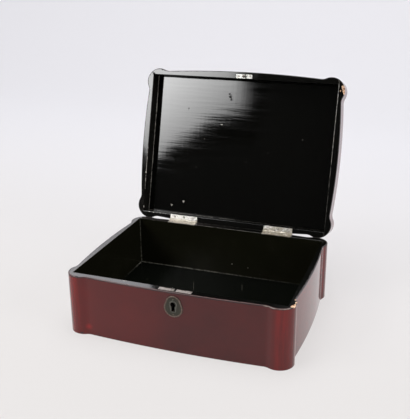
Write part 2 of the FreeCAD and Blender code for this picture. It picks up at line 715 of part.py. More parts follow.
def countersink(body, spots, name, shank, head, from_below):
    """Countersunk holes for flat-headed screws."""
    doc.recompute()
    hole = body.newObject("PartDesign::Hole", name)
    hole.Profile = spots
    doc.recompute()
    hole.DepthType = "ThroughAll"
    hole.HoleCutType = "Countersink"
    hole.HoleCutCustomValues = True
    hole.HoleCutCountersinkAngle = 90
    hole.setExpression("Diameter", "2 * (%s + 2 * dim.seat_gap)" % shank)
    hole.setExpression("HoleCutDiameter", "2 * (%s + dim.seat_gap)" % head)
    hole.Reversed = from_below
    doc.recompute()


def hinge_pin(name, side):
    """A pin along X with a flat head on each end."""
    half = "(dim.hinge_length / 2 + dim.running_gap)"
    x = hinge_sides[side]
    shank = rod(name + "_shank", "dim.hinge_pin_radius", "2 * " + half, ALONG_X,
                "%s - %s" % (x, half), "calc.axis_y", "calc.axis_z")
    heads = [rod("%s_head_%d" % (name, k + 1), "dim.pin_head_radius", "dim.pin_head_thick", ALONG_X,
                 "%s + %s" % (x, start), "calc.axis_y", "calc.axis_z")
             for k, start in enumerate(("(-%s - dim.pin_head_thick)" % half, half))]
    return fuse(name, [shank] + heads)


for side in hinge_sides:
    parts.append(hinge_leaf("hinge_body_leaf_" + side, "body", side))
    parts.append(hinge_leaf("hinge_lid_leaf_" + side, "lid", side))
    parts.append(hinge_pin("hinge_pin_" + side, side))


def screw(name, head, shank, length):
    """A slotted countersunk screw that points down, its head's face at the origin."""
    body = new_body(name)
    profile = new_sketch(body, "XZ_Plane", name + "_profile")
    point = "(2 * %s)" % shank
    # half section: axis, head's face, cone, shank, point
    outline = [Vector(0, 0, 0), Vector(2, 0, 0), Vector(1, -1, 0), Vector(1, -6, 0), Vector(0, -8, 0)]
    for k in range(5):
        profile.addGeometry(Part.LineSegment(outline[k], outline[(k + 1) % 5]))
    for k in range(5):
        profile.addConstraint(Sketcher.Constraint("Coincident", k, 2, (k + 1) % 5, 1))
    profile.addConstraint(Sketcher.Constraint("Coincident", 0, 1, -1, 1))
    profile.addConstraint(Sketcher.Constraint("Horizontal", 0))
    profile.addConstraint(Sketcher.Constraint("Vertical", 2))
    profile.addConstraint(Sketcher.Constraint("Vertical", 4))
    dimension(profile, "head_size", head, "DistanceX", 0, 1, 0, 2, 2.0)
    dimension(profile, "head_depth", "%s - %s" % (head, shank), "DistanceY", 1, 2, 1, 1, 1.0)
    dimension(profile, "shank_size", shank, "DistanceX", -1, 1, 1, 2, 1.0)
    dimension(profile, "shank_end", "%s - %s" % (length, point), "DistanceY", 2, 2, -1, 1, 6.0)
    dimension(profile, "overall", length, "DistanceY", 3, 2, -1, 1, 8.0)
    turned = body.newObject("PartDesign::Revolution", name + "_turned")
    turned.Profile = profile
    turned.ReferenceAxis = (profile, ["V_Axis"])
    turned.Angle = 360
    slot = new_sketch(body, "XY_Plane", name + "_slot")
    draw_rectangle(slot, "3 * " + head, "dim.slot_width")
    pocket(body, slot, name + "_slot_cut", "dim.slot_depth")
    doc.recompute()
    return body


def screw_group(name, pattern_screw, places):
    """Identical screws as one group of separate solids; places are (x, y, z) formulas."""
    links = []
    for k, (x, y, z) in enumerate(places, start=1):
        link = doc.addObject("App::Link", "%s_%d" % (name, k))
        link.LinkedObject = pattern_screw
        place(link, x, y, z)
        links.append(link)
    group = doc.addObject("Part::Compound", name)
    group.Links = links
    return group


def upturned_screw_group(name, pattern_screw, places):
    """Screws that point up into the lid, turned with it to where it rests."""
    group = screw_group(name, pattern_screw, places)
    for link, (x, y, z) in zip(group.Links, places):
        link.Placement = Placement(Vector(), DOWNWARD)
        place(link, x, y, z)
    turn_with_lid(group)
    return group


hinge_screw = screw("hinge_screw", "dim.hinge_screw_head", "dim.hinge_screw_shank",
                    "dim.hinge_screw_length")
plate_screw = screw("plate_screw", "dim.plate_screw_head", "dim.plate_screw_shank",
                    "dim.plate_screw_length")


def hinge_screw_places(line, z):
    return [("%s + %d * dim.hinge_screw_pitch" % (x, step), "calc.axis_y - " + line, z)
            for x in hinge_sides.values() for step in screw_steps]


def plate_screw_places(pitch, z):
    return [("dim.lock_offset + %d * %s / 2" % (sign, pitch), "-calc.lock_y", z) for sign in (-1, 1)]


parts.append(screw_group("hinge_body_screws", hinge_screw,
                         hinge_screw_places("calc.body_screw_line", "dim.body_height")))
parts.append(upturned_screw_group("hinge_lid_screws", hinge_screw,
                                  hinge_screw_places("calc.lid_screw_line", "calc.lid_rim_z")))

# ---- lock: drawn about the rim above the keyhole ------------------------------

def place_lock_piece(body):
    place(body, "dim.lock_offset", "-calc.lock_y", "dim.body_height")
    parts.append(body)


def draw_pair(sketch, pitch):
    """Two small circles that mark a pair of screw holes."""
    for sign in (-1, 1):
        spot = sketch.addGeometry(Part.Circle(Vector(8 * sign, 0, 0), Vector(0, 0, 1), 0.5))
        sketch.addConstraint(Sketcher.Constraint("PointOnObject", spot, 3, -1))
        ends = (-1, 1, spot, 3) if sign > 0 else (spot, 3, -1, 1)
        dimension(sketch, "reach%d" % spot, pitch + " / 2", "DistanceX", *ends, 8.0)


def cut_keyhole(body, name, height):
    """A round and a slot below it, right through the piece."""
    hole = new_sketch(body, "XZ_Plane", name + "_keyhole_round")
    shift(hole, "0", height)
    draw_circle(hole, "dim.keyhole_radius")
    pocket(body, hole, name + "_keyhole_bore")
    slot = new_sketch(body, "XZ_Plane", name + "_keyhole_slot")
    shift(slot, "0", "%s - dim.key_slot_drop / 2" % height)
    draw_rectangle(slot, "dim.key_slot_width", "dim.key_slot_drop")
    pocket(body, slot, name + "_keyhole_mill")


def lock_selvedge():
    """The plate let into the rim, with a slot for the hook that runs out at the back."""
    body = new_body("lock_selvedge")
    strip = new_sketch(body, "XY_Plane", "selvedge_strip", "-dim.selvedge_thick")
    draw_rectangle(strip, "dim.selvedge_length", "dim.selvedge_width")
    pad(body, strip, "dim.selvedge_thick", "selvedge_plate")
    slot = new_sketch(body, "XY_Plane", "selvedge_slot")
    shift(slot, "0", "dim.hook_slot_lip")
    draw_rectangle(slot, "dim.hook_slot_width", "dim.selvedge_width")
    pocket(body, slot, "selvedge_slot_cut")
    spots = new_sketch(body, "XY_Plane", "selvedge_screw_spots")
    draw_pair(spots, "dim.lock_screw_pitch")
    countersink(body, spots, "selvedge_holes", "dim.plate_screw_shank", "dim.plate_screw_head", False)
    return body


def lock_case():
    """A shallow sheet tray under the selvedge; its front plate has the keyhole."""
    body = new_body("lock_case")
    middle = "-dim.selvedge_thick - dim.case_height / 2"
    tray = new_sketch(body, "XZ_Plane", "case_outline")
    shift(tray, "0", middle)
    draw_rectangle(tray, "dim.case_width", "dim.case_height")
    pad(body, tray, "dim.case_thick", "case_solid", both_ways=True)
    # XZ sketches face -Y, so this lift puts the hollow's floor behind the front plate
    hollow = new_sketch(body, "XZ_Plane", "case_hollow", "calc.cavity_half_thick")
    shift(hollow, "0", middle + " + dim.case_sheet / 2")
    draw_rectangle(hollow, "2 * calc.cavity_half_width", "dim.case_height - dim.case_sheet")
    pocket(body, hollow, "case_hollow_cut", "dim.case_thick")
    cut_keyhole(body, "case", "-dim.keyhole_drop")
    return body


def lock_cap():
    """The cover that closes the tray at the back and carries the two posts."""
    body = new_body("lock_cap")
    cover = new_sketch(body, "XZ_Plane", "cap_outline", "-dim.case_thick / 2")
    shift(cover, "0", "-dim.selvedge_thick - (dim.case_height - dim.case_sheet) / 2")
    draw_rectangle(cover, "2 * (calc.cavity_half_width - dim.seat_gap)",
                   "dim.case_height - dim.case_sheet - 2 * dim.seat_gap")
    pad(body, cover, "dim.case_sheet", "cap_plate")
    posts = (("key_pin", "0", "-dim.keyhole_drop", "dim.key_pin_radius"),
             ("stump", "dim.stump_place", "-dim.bolt_bar_drop - dim.bolt_bar_height / 2", "dim.stump_radius"))
    for name, x, y, radius in posts:
        hole = new_sketch(body, "XZ_Plane", "cap_%s_hole" % name)
        shift(hole, x, y)
        draw_circle(hole, radius + " + dim.seat_gap")
        pocket(body, hole, "cap_%s_bore" % name)
    return body


def lock_post(name, x, z, radius, tip):
    """A round post that is riveted in the cap and points to the front."""
    body = new_body(name)
    disc = new_sketch(body, "XZ_Plane", name + "_disc", "-dim.case_thick / 2")
    shift(disc, x, z)
    draw_circle(disc, radius)
    pad(body, disc, "dim.case_thick / 2 + calc.cavity_half_thick - " + tip, name + "_post")
    return body


def lock_bolt():
    """The sliding bolt: a bar, an arm at its left and a nose that goes through the hook.

    A talon in the bar's lower edge takes the key's bit, and a slot rides on the stump.
    """
    body = new_body("lock_bolt")
    bar = new_sketch(body, "XZ_Plane", "bolt_bar")
    shift(bar, "(dim.bolt_bar_right - dim.bolt_bar_left) / 2", "calc.bar_top - dim.bolt_bar_height / 2")
    draw_rectangle(bar, "dim.bolt_bar_right + dim.bolt_bar_left", "dim.bolt_bar_height")
    thick = "2 * (calc.cavity_half_thick - dim.bolt_side_gap)"
    pad(body, bar, thick, "bolt_bar_pad", both_ways=True)
    arm_top_to_bar = "(dim.bolt_bar_drop - dim.bolt_arm_drop)"
    arm = new_sketch(body, "XZ_Plane", "bolt_arm")
    shift(arm, "dim.bolt_arm_width / 2 - dim.bolt_bar_left", "calc.bar_top + %s / 2" % arm_top_to_bar)
    draw_rectangle(arm, "dim.bolt_arm_width", arm_top_to_bar)
    pad(body, arm, thick, "bolt_arm_pad", both_ways=True)
    nose_root = "(dim.bolt_bar_left - dim.bolt_arm_width)"
    nose = new_sketch(body, "XZ_Plane", "bolt_nose")
    shift(nose, "(-%s - dim.bolt_nose_set) / 2" % nose_root, "-dim.bolt_nose_drop - dim.bolt_nose_height / 2")
    draw_rectangle(nose, nose_root + " - dim.bolt_nose_set", "dim.bolt_nose_height")
    pad(body, nose, "dim.bolt_nose_thick", "bolt_nose_pad", both_ways=True)
    talon = new_sketch(body, "XZ_Plane", "bolt_talon")
    shift(talon, "-dim.talon_place", "calc.bar_top - dim.bolt_bar_height")
    draw_circle(talon, "dim.talon_radius")
    pocket(body, talon, "bolt_talon_cut")
    slot = new_sketch(body, "XZ_Plane", "bolt_slot")
    shift(slot, "dim.stump_place - dim.bolt_travel / 2", "calc.bar_top - dim.bolt_bar_height / 2")
    draw_rectangle(slot, "dim.bolt_travel + 2 * (dim.stump_radius + dim.stump_gap)",
                   "2 * (dim.stump_radius + dim.stump_gap)")
    pocket(body, slot, "bolt_slot_cut")
    return body


def lock_spring():
    """A bent leaf spring from the case's right wall down to the top of the bolt's bar."""
    body = new_body("lock_spring")
    foot = size("bar_top") + size("spring_gap")
    wall = size("cavity_half_width") - size("seat_gap")
    outer = size("spring_radius")
    inner = outer - size("spring_thick")
    # the arc's lowest point lies above the stump and its other end meets the wall
    centre = Vector(size("stump_place"), foot + outer, 0)
    lowest = -math.pi / 2
    end = -math.acos((wall - centre.x) / outer)
    strip = new_sketch(body, "XZ_Plane", "spring_strip")
    shift(strip, "dim.stump_place", "calc.bar_top + dim.spring_gap + dim.spring_radius")
    axis = Vector(0, 0, 1)
    strip.addGeometry(Part.ArcOfCircle(Part.Circle(Vector(), axis, outer), lowest, end))
    strip.addGeometry(Part.ArcOfCircle(Part.Circle(Vector(), axis, inner), lowest, end))
    tips = [Vector(math.cos(a), math.sin(a), 0) for a in (lowest, end)]
    strip.addGeometry(Part.LineSegment(tips[0] * outer, tips[0] * inner))
    strip.addGeometry(Part.LineSegment(tips[1] * outer, tips[1] * inner))
    for arc in (0, 1):
        strip.addConstraint(Sketcher.Constraint("Coincident", arc, 3, -1, 1))
        strip.addConstraint(Sketcher.Constraint("Coincident", 2, 1 + arc, arc, 1))
        strip.addConstraint(Sketcher.Constraint("Coincident", 3, 1 + arc, arc, 2))
    strip.addConstraint(Sketcher.Constraint("Vertical", 2))
    strip.addConstraint(Sketcher.Constraint("PointOnObject", -1, 1, 3))
    dimension(strip, "outer", "dim.spring_radius", "Radius", 0, outer)
    dimension(strip, "inner", "dim.spring_radius - dim.spring_thick", "Radius", 1, inner)
    dimension(strip, "reach", "calc.cavity_half_width - dim.seat_gap - dim.stump_place",
              "DistanceX", -1, 1, 3, 1, wall - centre.x)
    pad(body, strip, "dim.spring_width", "spring_leaf", both_ways=True)
    return body


for piece in (lock_selvedge(), lock_case(), lock_cap(), lock_bolt(), lock_spring(),
              lock_post("lock_key_pin", "0", "-dim.keyhole_drop", "dim.key_pin_radius", "dim.key_pin_set"),
              lock_post("lock_stump", "dim.stump_place", "-dim.bolt_bar_drop - dim.bolt_bar_height / 2",
                        "dim.stump_radius", "dim.key_pin_set")):
    place_lock_piece(piece)
parts.append(screw_group("lock_screws", plate_screw,
                         plate_screw_places("dim.lock_screw_pitch", "dim.body_height")))

# ---- link plate and hook on the lid's front rail -------------------------------

def place_link_piece(body):
    """Pieces drawn about the shut lid's rim over the lock, then turned with the lid."""
    body.Placement = Placement(Vector(), Rotation(Vector(1, 0, 0), -1))
    body.setExpression("Placement.Rotation.Angle", "-dim.open_angle")
    place(body, "dim.lock_offset", "calc.link_open_y", "calc.link_open_z")
    parts.append(body)


def link_plate():
    body = new_body("link_plate")
    strip = new_sketch(body, "XY_Plane", "link_strip")
    draw_rectangle(strip, "dim.plate_length", "dim.plate_width")
    pad(body, strip, "dim.plate_thick", "link_plate_pad")
    mortise = new_sketch(body, "XY_Plane", "link_mortise")
    draw_rectangle(mortise, "dim.hook_thick + 2 * dim.seat_gap", "dim.hook_tenon_width + 2 * dim.seat_gap")
    pocket(body, mortise, "link_mortise_cut")
    spots = new_sketch(body, "XY_Plane", "link_screw_spots")
    draw_pair(spots, "dim.plate_screw_pitch")
    countersink(body, spots, "link_holes", "dim.plate_screw_shank", "dim.plate_screw_head", True)
    return body


def link_hook():
    """The blade that enters the lock; the bolt's nose goes through its window."""
    body = new_body("link_hook")
    blade = new_sketch(body, "YZ_Plane", "hook_blade")
    shift(blade, "0", "-dim.hook_length / 2 - dim.seat_gap / 2")
    draw_rectangle(blade, "dim.hook_width", "dim.hook_length - dim.seat_gap")
    solid = pad(body, blade, "dim.hook_thick", "hook_blade_pad", both_ways=True)
    doc.recompute()
    tip = level_edges(solid.Shape, -size("hook_length"))
    ends = [name for name in tip
            if solid.Shape.Edges[int(name[4:]) - 1].BoundBox.YLength < 1e-4]
    fillet(body, solid, ends, "dim.hook_round", "hook_tip")
    tenon = new_sketch(body, "YZ_Plane", "hook_tenon")
    shift(tenon, "0", "dim.plate_thick / 2 - dim.seat_gap / 2")
    draw_rectangle(tenon, "dim.hook_tenon_width", "dim.plate_thick + dim.seat_gap")
    pad(body, tenon, "dim.hook_thick", "hook_tenon_pad", both_ways=True)
    window = new_sketch(body, "YZ_Plane", "hook_window")
    shift(window, "0", "-dim.hook_window_drop - dim.hook_window_height / 2")
    draw_rectangle(window, "dim.hook_window_width", "dim.hook_window_height")
    pocket(body, window, "hook_window_cut")
    return body


place_link_piece(link_plate())
place_link_piece(link_hook())
parts.append(upturned_screw_group("link_screws", plate_screw,
                                  plate_screw_places("dim.plate_screw_pitch", "calc.lid_rim_z")))

# ---- escutcheon ---------------------------------------------------------------

def escutcheon():
    """A pear-shaped plate with a raised rim and a raised lip round the keyhole."""
    body = new_body("escutcheon")
    outer = ("shield_top_radius", "shield_low_radius", "shield_top_rise", "shield_low_drop")
    rim_inner = ("shield_inner_top", "shield_inner_low", "shield_top_rise", "shield_low_drop")
    field = new_sketch(body, "XZ_Plane", "shield_field")
    draw_pear(field, *outer)
    pad(body, field, "dim.shield_field_thick", "shield_field_pad")
    rim = new_sketch(body, "XZ_Plane", "shield_rim")
    draw_pear(rim, *outer)
    draw_pear(rim, *rim_inner)
    pad(body, rim, "dim.shield_rim_thick", "shield_rim_pad")
    lip = new_sketch(body, "XZ_Plane", "shield_lip")
    draw_pear(lip, "shield_lip_top", "shield_lip_low", None, "shield_lip_drop")
    solid = pad(body, lip, "dim.shield_lip_thick", "shield_lip_pad")
    doc.recompute()
    edges = (level_edges(solid.Shape, -size("shield_rim_thick"), "Y")
             + level_edges(solid.Shape, -size("shield_lip_thick"), "Y"))
    chamfer(body, solid, edges, "dim.shield_bevel", "shield_edge")
    cut_keyhole(body, "shield", "0")
    for key, height in shield_pin_heights.items():
        hole = new_sketch(body, "XZ_Plane", "shield_%s_pin_spot" % key)
        shift(hole, "0", height)
        draw_circle(hole, "dim.shield_pin_shank + dim.seat_gap")
        pocket(body, hole, "shield_%s_pin_bore" % key)
    place(body, "dim.lock_offset", "-calc.front_y", "calc.keyhole_z")
    return body


def shield_pin(key, height):
    """A small round-headed pin that holds the escutcheon to the wood."""
    face = "-calc.front_y - dim.shield_field_thick - dim.seat_gap"
    shank = rod("shield_pin_%s_shank" % key, "dim.shield_pin_shank",
                "dim.shield_pin_length + dim.shield_field_thick + dim.seat_gap", ALONG_Y,
                "dim.lock_offset", face, "calc.keyhole_z + " + height)
    head = doc.addObject("Part::Sphere", "shield_pin_%s_head" % key)
    head.setExpression("Radius", "dim.shield_pin_head")
    head.Angle1 = 0
    head.Placement = Placement(Vector(), Rotation(Vector(1, 0, 0), 90))
    place(head, "dim.lock_offset", face, "calc.keyhole_z + " + height)
    return fuse("shield_pin_" + key, [shank, head])


parts.append(escutcheon())
shield_pins = doc.addObject("Part::Compound", "escutcheon_pins")
shield_pins.Links = [shield_pin(key, height) for key, height in shield_pin_heights.items()]
parts.append(shield_pins)

# ---- check and write -------------------------------------------------------------

doc.recompute()
faults = [o.Name for o in doc.Objects if "Invalid" in o.State or "Error" in o.State]
for part in parts:
    part.Label = part.Name
    if part.Shape.isNull() or not part.Shape.isValid() or not part.Shape.Solids:
        faults.append(part.Label)
if faults:
    raise SystemExit("failed: " + ", ".join(faults))
for part in parts:
    part.Shape.exportStep("parts/%s.step" % part.Label)
    print("%-26s %2d solid(s) %10.1f mm3" % (part.Label, len(part.Shape.Solids), part.Shape.Volume))
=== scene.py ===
import json
import math
import bmesh
import bpy
import numpy as np
from mathutils import Matrix, Vector


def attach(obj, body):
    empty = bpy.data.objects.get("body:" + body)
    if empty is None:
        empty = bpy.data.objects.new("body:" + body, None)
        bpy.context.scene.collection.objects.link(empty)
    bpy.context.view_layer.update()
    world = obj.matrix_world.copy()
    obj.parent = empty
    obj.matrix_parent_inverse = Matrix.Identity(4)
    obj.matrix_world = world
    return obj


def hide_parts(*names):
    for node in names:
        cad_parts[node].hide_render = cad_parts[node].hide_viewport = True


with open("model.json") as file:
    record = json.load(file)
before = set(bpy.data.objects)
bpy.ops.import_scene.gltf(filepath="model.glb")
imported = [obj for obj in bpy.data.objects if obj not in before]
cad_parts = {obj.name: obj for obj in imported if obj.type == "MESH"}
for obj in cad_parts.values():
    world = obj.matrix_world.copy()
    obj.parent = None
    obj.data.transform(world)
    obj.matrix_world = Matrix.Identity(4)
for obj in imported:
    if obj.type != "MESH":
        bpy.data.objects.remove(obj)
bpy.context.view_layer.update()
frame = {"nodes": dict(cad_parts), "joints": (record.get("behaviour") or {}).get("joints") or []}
nodes = frame["nodes"]

# the lid's hinge, as the frame gives it: an axis along X and how far the lid stands open
hinge = next(joint for joint in frame["joints"] if joint["name"] == "lid_hinge")
axisY, axisZ = hinge["pos_m"][1:]
openAngle = math.radians(hinge["range_deg"][1])

cameraSet = {
    "place": (0.302657, -0.826939, 0.472376),
    "right": (0.94091367, 0.33857406, -0.00700570),
    "up": (-0.11067159, 0.32698152, 0.93852804),
    "longSide": 36.0,             # mm of film on the picture's long side
    "lens": 61.209,
}


# the camera's axes are right, up and their cross product, which points backwards
def makeCamera(s):
    data = bpy.data.cameras.new("camera")
    data.sensor_width, data.lens = s["longSide"], s["lens"]
    camera = bpy.data.objects.new("camera", data)
    bpy.context.scene.collection.objects.link(camera)
    right, up = Vector(s["right"]), Vector(s["up"])
    turn = Matrix((right, up, right.cross(up))).transposed().to_4x4()
    camera.matrix_world = Matrix.Translation(s["place"]) @ turn
    bpy.context.scene.camera = camera


makeCamera(cameraSet)
bpy.context.scene.view_settings.view_transform = "Standard"
print("camera set")


# turns points about the hinge axis, the way the lid opens, by an angle a:
# y = axis + dy cos a + dz sin a and z = axis - dy sin a + dz cos a
def swing(points, angle):
    c, s = math.cos(angle), math.sin(angle)
    y, z = points[:, 1] - axisY, points[:, 2] - axisZ
    return np.stack([points[:, 0], axisY + y * c + z * s, axisZ - y * s + z * c], 1)


# a mesh's points, one to a row
def pointsOf(mesh):
    points = np.empty(len(mesh.vertices) * 3)
    mesh.vertices.foreach_get("co", points)
    return points.reshape(-1, 3)


# lowest and highest corner of a frame node; a piece of the lid is swung shut first
def cornersOf(name, shut=False):
    points = pointsOf(nodes[name].data)
    if shut:
        points = swing(points, -openAngle)
    return points.min(0), points.max(0)


# one plan is shared by body and lid: bowed sides, a hollow, and a round lobe at each corner
plan = {
    "overX": 0.300,               # over the lobes
    "overY": 0.228,
    "lobe": 0.0192,
    "cove": 0.014,
    "longBow": 1.630,             # radius of the front and back sides
    "longReach": -cornersOf("front_wall")[0][1],      # a bow's middle, from the box's middle
    "shortBow": 0.900,
    "shortReach": cornersOf("right_wall")[1][0],
    "bowSteps": 64,
    "coveSteps": 18,
    "lobeSteps": 44,
}
bodySet = {
    "rim": cornersOf("front_wall")[1][2],
    "innerX": cornersOf("right_wall")[0][0],
    "innerY": -cornersOf("front_wall")[1][1],
    "floor": cornersOf("bottom_board")[1][2],
    "rabbet": 0.0025,             # the bottom board sits this far into the walls
    "edgeRound": 0.0009,
    "arris": 0.0003,              # the rim's inner edge is just broken
}
lidSet = {
    "rim": cornersOf("lid_front_rail", True)[0][2],
    "innerX": cornersOf("lid_right_rail", True)[0][0],
    "innerY": -cornersOf("lid_front_rail", True)[1][1],
    "panel": cornersOf("lid_panel", True)[0][2],
    "top": cornersOf("lid_panel", True)[1][2],
    "edgeRound": 0.0009,
    "arris": 0.0003,
    "topRound": 0.003,
    "topSteps": 10,
    "unworn": 1.0,                # a distance from the arris at which nothing is worn
    "runStep": 0.001,             # in the top board's map, from one point of its outline to the next
}
print("sizes read from the frame")


# joins a value to each named input of a node, or writes a plain number or colour there
def fill(node, sockets):
    for name, value in sockets.items():
        socket = node.inputs[name]
        if isinstance(value, bpy.types.NodeSocket):
            node.id_data.links.new(value, socket)
        else:
            socket.default_value = (*value, 1.0) if socket.type == "RGBA" else value


# A new node's outputs. Where no tree is given, it stands in the tree of the values that feed it.
def addNode(kind, sockets, tree=None, **settings):
    feeding = [value.id_data for value in sockets.values() if isinstance(value, bpy.types.NodeSocket)]
    made = (tree or feeding[0]).nodes.new(kind)
    for name, value in settings.items():
        setattr(made, name, value)
    fill(made, sockets)
    return made.outputs


# two or more values put through one operation, from left to right
def sums(operation, *values):
    made = values[0]
    for value in values[1:]:
        made = addNode("ShaderNodeMath", {0: made, 1: value}, operation=operation)[0]
    return made


def times(*values):
    return sums("MULTIPLY", *values)


# a value without its sign
def unsigned(value):
    return addNode("ShaderNodeMath", {0: value}, operation="ABSOLUTE")[0]


# the largest of several masks
def anyOf(*masks):
    return sums("MAXIMUM", *masks)


# a smooth step of value from low to high: 3t^2 - 2t^3 of its share t of the way
def fade(value, low, high, toLow=0.0, toHigh=1.0):
    return addNode("ShaderNodeMapRange",
                   {"Value": value, "From Min": low, "From Max": high, "To Min": toLow, "To Max": toHigh},
                   interpolation_type="SMOOTHSTEP")[0]


lineCore = 0.25                   # share of a line's half width that has its full strength


# 1 where value is at place, 0 beyond a width from it
def nearTo(value, place, width):
    away = unsigned(sums("SUBTRACT", value, place))
    return fade(away, width, width * lineCore)


# first where the amount is 0, second where it is 1
def blendColour(amount, first, second):
    return addNode("ShaderNodeMix", {0: amount, 6: first, 7: second}, data_type="RGBA")[2]


# colours laid over a base one after another, each where its mask is
def coats(colour, *layers):
    for mask, layer in layers:
        colour = blendColour(mask, colour, layer)
    return colour


def noise(where, scale, detail, roughness):
    return addNode("ShaderNodeTexNoise",
                   {"Vector": where, "Scale": scale, "Detail": detail, "Roughness": roughness})[0]


# Noise cut to a mask. A pattern is its scale, detail and roughness, the noise where the mask starts
# and where it is full, and what the mask is worth there, if that isn't 0 and 1.
def patches(where, pattern):
    scale, detail, roughness, low, high, *worth = pattern
    return fade(noise(where, scale, detail, roughness), low, high, *worth)


# a height as a relief, on top of the relief before it
def bump(height, distance, strength, before=None):
    under = {} if before is None else {"Normal": before}
    return addNode("ShaderNodeBump",
                   {"Height": height, "Distance": distance, "Strength": strength, **under})[0]


# noise as a relief: a pattern is its scale, detail and roughness, its depth and its strength
def relief(where, pattern, before=None):
    scale, detail, roughness, depth, strength = pattern
    return bump(noise(where, scale, detail, roughness), depth, strength, before)


# a place that is scaled, turned and then shifted
def stretched(where, scale, turn=(0.0, 0.0, 0.0), shift=(0.0, 0.0, 0.0)):
    return addNode("ShaderNodeMapping",
                   {"Vector": where, "Location": shift, "Rotation": turn, "Scale": scale})[0]


# the X, Y and Z of a place
def apart(where):
    return addNode("ShaderNodeSeparateXYZ", {0: where})


def distanceTo(where, place):
    return addNode("ShaderNodeVectorMath", {0: where, 1: place}, operation="DISTANCE")["Value"]


# the place that a point of the open lid has when the lid is shut
def shutPlace(where):
    c, s = math.cos(openAngle), math.sin(openAngle)
    shift = (0.0, axisY - axisY * c + axisZ * s, axisZ - axisY * s - axisZ * c)
    return stretched(where, (1.0, 1.0, 1.0), (openAngle, 0.0, 0.0), shift)


# a new material, its shader and the object's own coordinates
def newMaterial(name):
    material = bpy.data.materials.new(name)
    material.use_nodes = True
    shader = material.node_tree.nodes["Principled BSDF"]
    return material, shader, addNode("ShaderNodeTexCoord", {}, material.node_tree)["Object"]


spotSet = {
    "fraying": (700.0, 3.0, 0.55, 0.3, 0.7, 0.5, 1.5),     # how much further off its edge seems
    "core": 0.7,                  # share of its radius that has its full strength
}


# small round flaws: 1 within a ragged radius of any of some places
def spots(where, places):
    rough = patches(where, spotSet["fraying"])
    return anyOf(*[fade(times(distanceTo(where, place), rough),
                        radius, radius * spotSet["core"]) for *place, radius in places])


# a strength that runs straight from stop to stop; each stop is a place and the strength there
def strengthAlong(value, stops):
    first, last = stops[0][0], stops[-1][0]
    share = addNode("ShaderNodeMapRange", {"Value": value, "From Min": first, "From Max": last})[0]
    found = addNode("ShaderNodeValToRGB", {0: share})[0]
    points = found.node.color_ramp.elements
    for place, _ in stops[1:-1]:
        points.new((place - first) / (last - first))
    for point, (_, strength) in zip(points, stops):
        point.color = (strength, strength, strength, 1.0)
    return found


# Lines along a box's inner edges. Each seam is the axis that it runs along, the two sides that meet
# there, and its stops; a side is named left, right, front or back, or by the size that is its height.
def seamLines(place, sizes, seams, width):
    axes = apart(place)
    sides = {"left": ("X", -sizes["innerX"]), "right": ("X", sizes["innerX"]),
             "front": ("Y", -sizes["innerY"]), "back": ("Y", sizes["innerY"])}
    masks = []
    for along, first, second, stops in seams:
        line = strengthAlong(axes[along], stops)
        for side in (first, second):
            axis, level = sides.get(side) or ("Z", sizes[side])
            line = times(line, nearTo(axes[axis], level, width))
        masks.append(line)
    return anyOf(*masks)


# how far a point lies from the outer arris, measured round the wall's section, from the map called run
def roundSection(tree):
    return apart(addNode("ShaderNodeUVMap", {}, tree, uv_map="run")[0])[1]


redLacquerSet = {
    "base": (0.106, 0.0056, 0.0050),
    "dark": (0.048, 0.0038, 0.0038),
    "glow": (0.178, 0.0060, 0.0048),          # where the brown top coat is rubbed thin on the lobes, and painted light where they face the side lamps
    "rubbed": (0.022, 0.0120, 0.0125),        # dark ground that shows along worn edges
    "bare": (0.340, 0.310, 0.260),            # pale priming, bare in a few places
    "clouds": (16.0, 4.0, 0.55, 0.3, 0.75),
    "shadeStops": ((-0.12, 0.0), (-0.06, 0.35), (0.0, 0.9), (0.07, 1.0), (0.115, 0.8), (0.13, 0.0)),
    "shadeShare": 0.7,            # of the dark that the stops give; the clouds give the rest
    "thinAndLitPlace": 0.1375,          # middle and half width of the rubbed and painted-lit stretch on each lobe
    "thinAndLitWidth": 0.0125,
    "grain": (130.0, 4.0, 0.6, 0.35, 0.7),
    "grainLength": (1.0, 1.0, 0.08),
    "edgeWear": (0.0019, 0.00076),            # from the arris, where it starts and where it is full
    "fraying": (240.0, 4.0, 0.65, 0.35, 0.55, 0.55, 1.0),
    "wornLobe": ((0.113, 0.0), (0.117, 1.0), (0.128, 0.8), (0.130, 0.2), (0.133, 0.2), (0.135, 0.9),
                 (0.144, 0.9), (0.147, 0.0)),         # along X
    "wornFront": (-0.0992, -0.1042),          # along Y, where it starts and where it is full
    "wornReach": (0.0008, 0.00024),           # from the arris
    "wornBelow": (-0.004, -0.002),            # from the rim's height, likewise
    "wornAbove": (0.001, 0.0002),
    "crumbling": (180.0, 3.0, 0.55, 0.35, 0.5, 0.3, 1.0),
    "flare": (0.300, 0.0080, 0.0090),         # clear red where the top coat is gone
    "flareAt": (-0.1179, -0.1136, 0.0113),
    "flareReach": 0.0065,
    "nicks": ((-0.1163, -0.1135, 0.0030, 0.0020), (-0.1090, -0.1136, 0.0016, 0.0026),
              (-0.1046, -0.1137, 0.0026, 0.0024), (-0.1279, -0.1128, 0.0020, 0.0022)),
    "smears": (60.0, 5.0, 0.6, 0.3, 0.75),
    "gloss": (0.0385, 0.088),     # the roughness between smears and on them
    "smearLength": (1.0, 1.0, 0.25),
    "skin": (260.0, 2.0, 0.55, 0.00002, 0.6),
    "ior": 1.44,
}
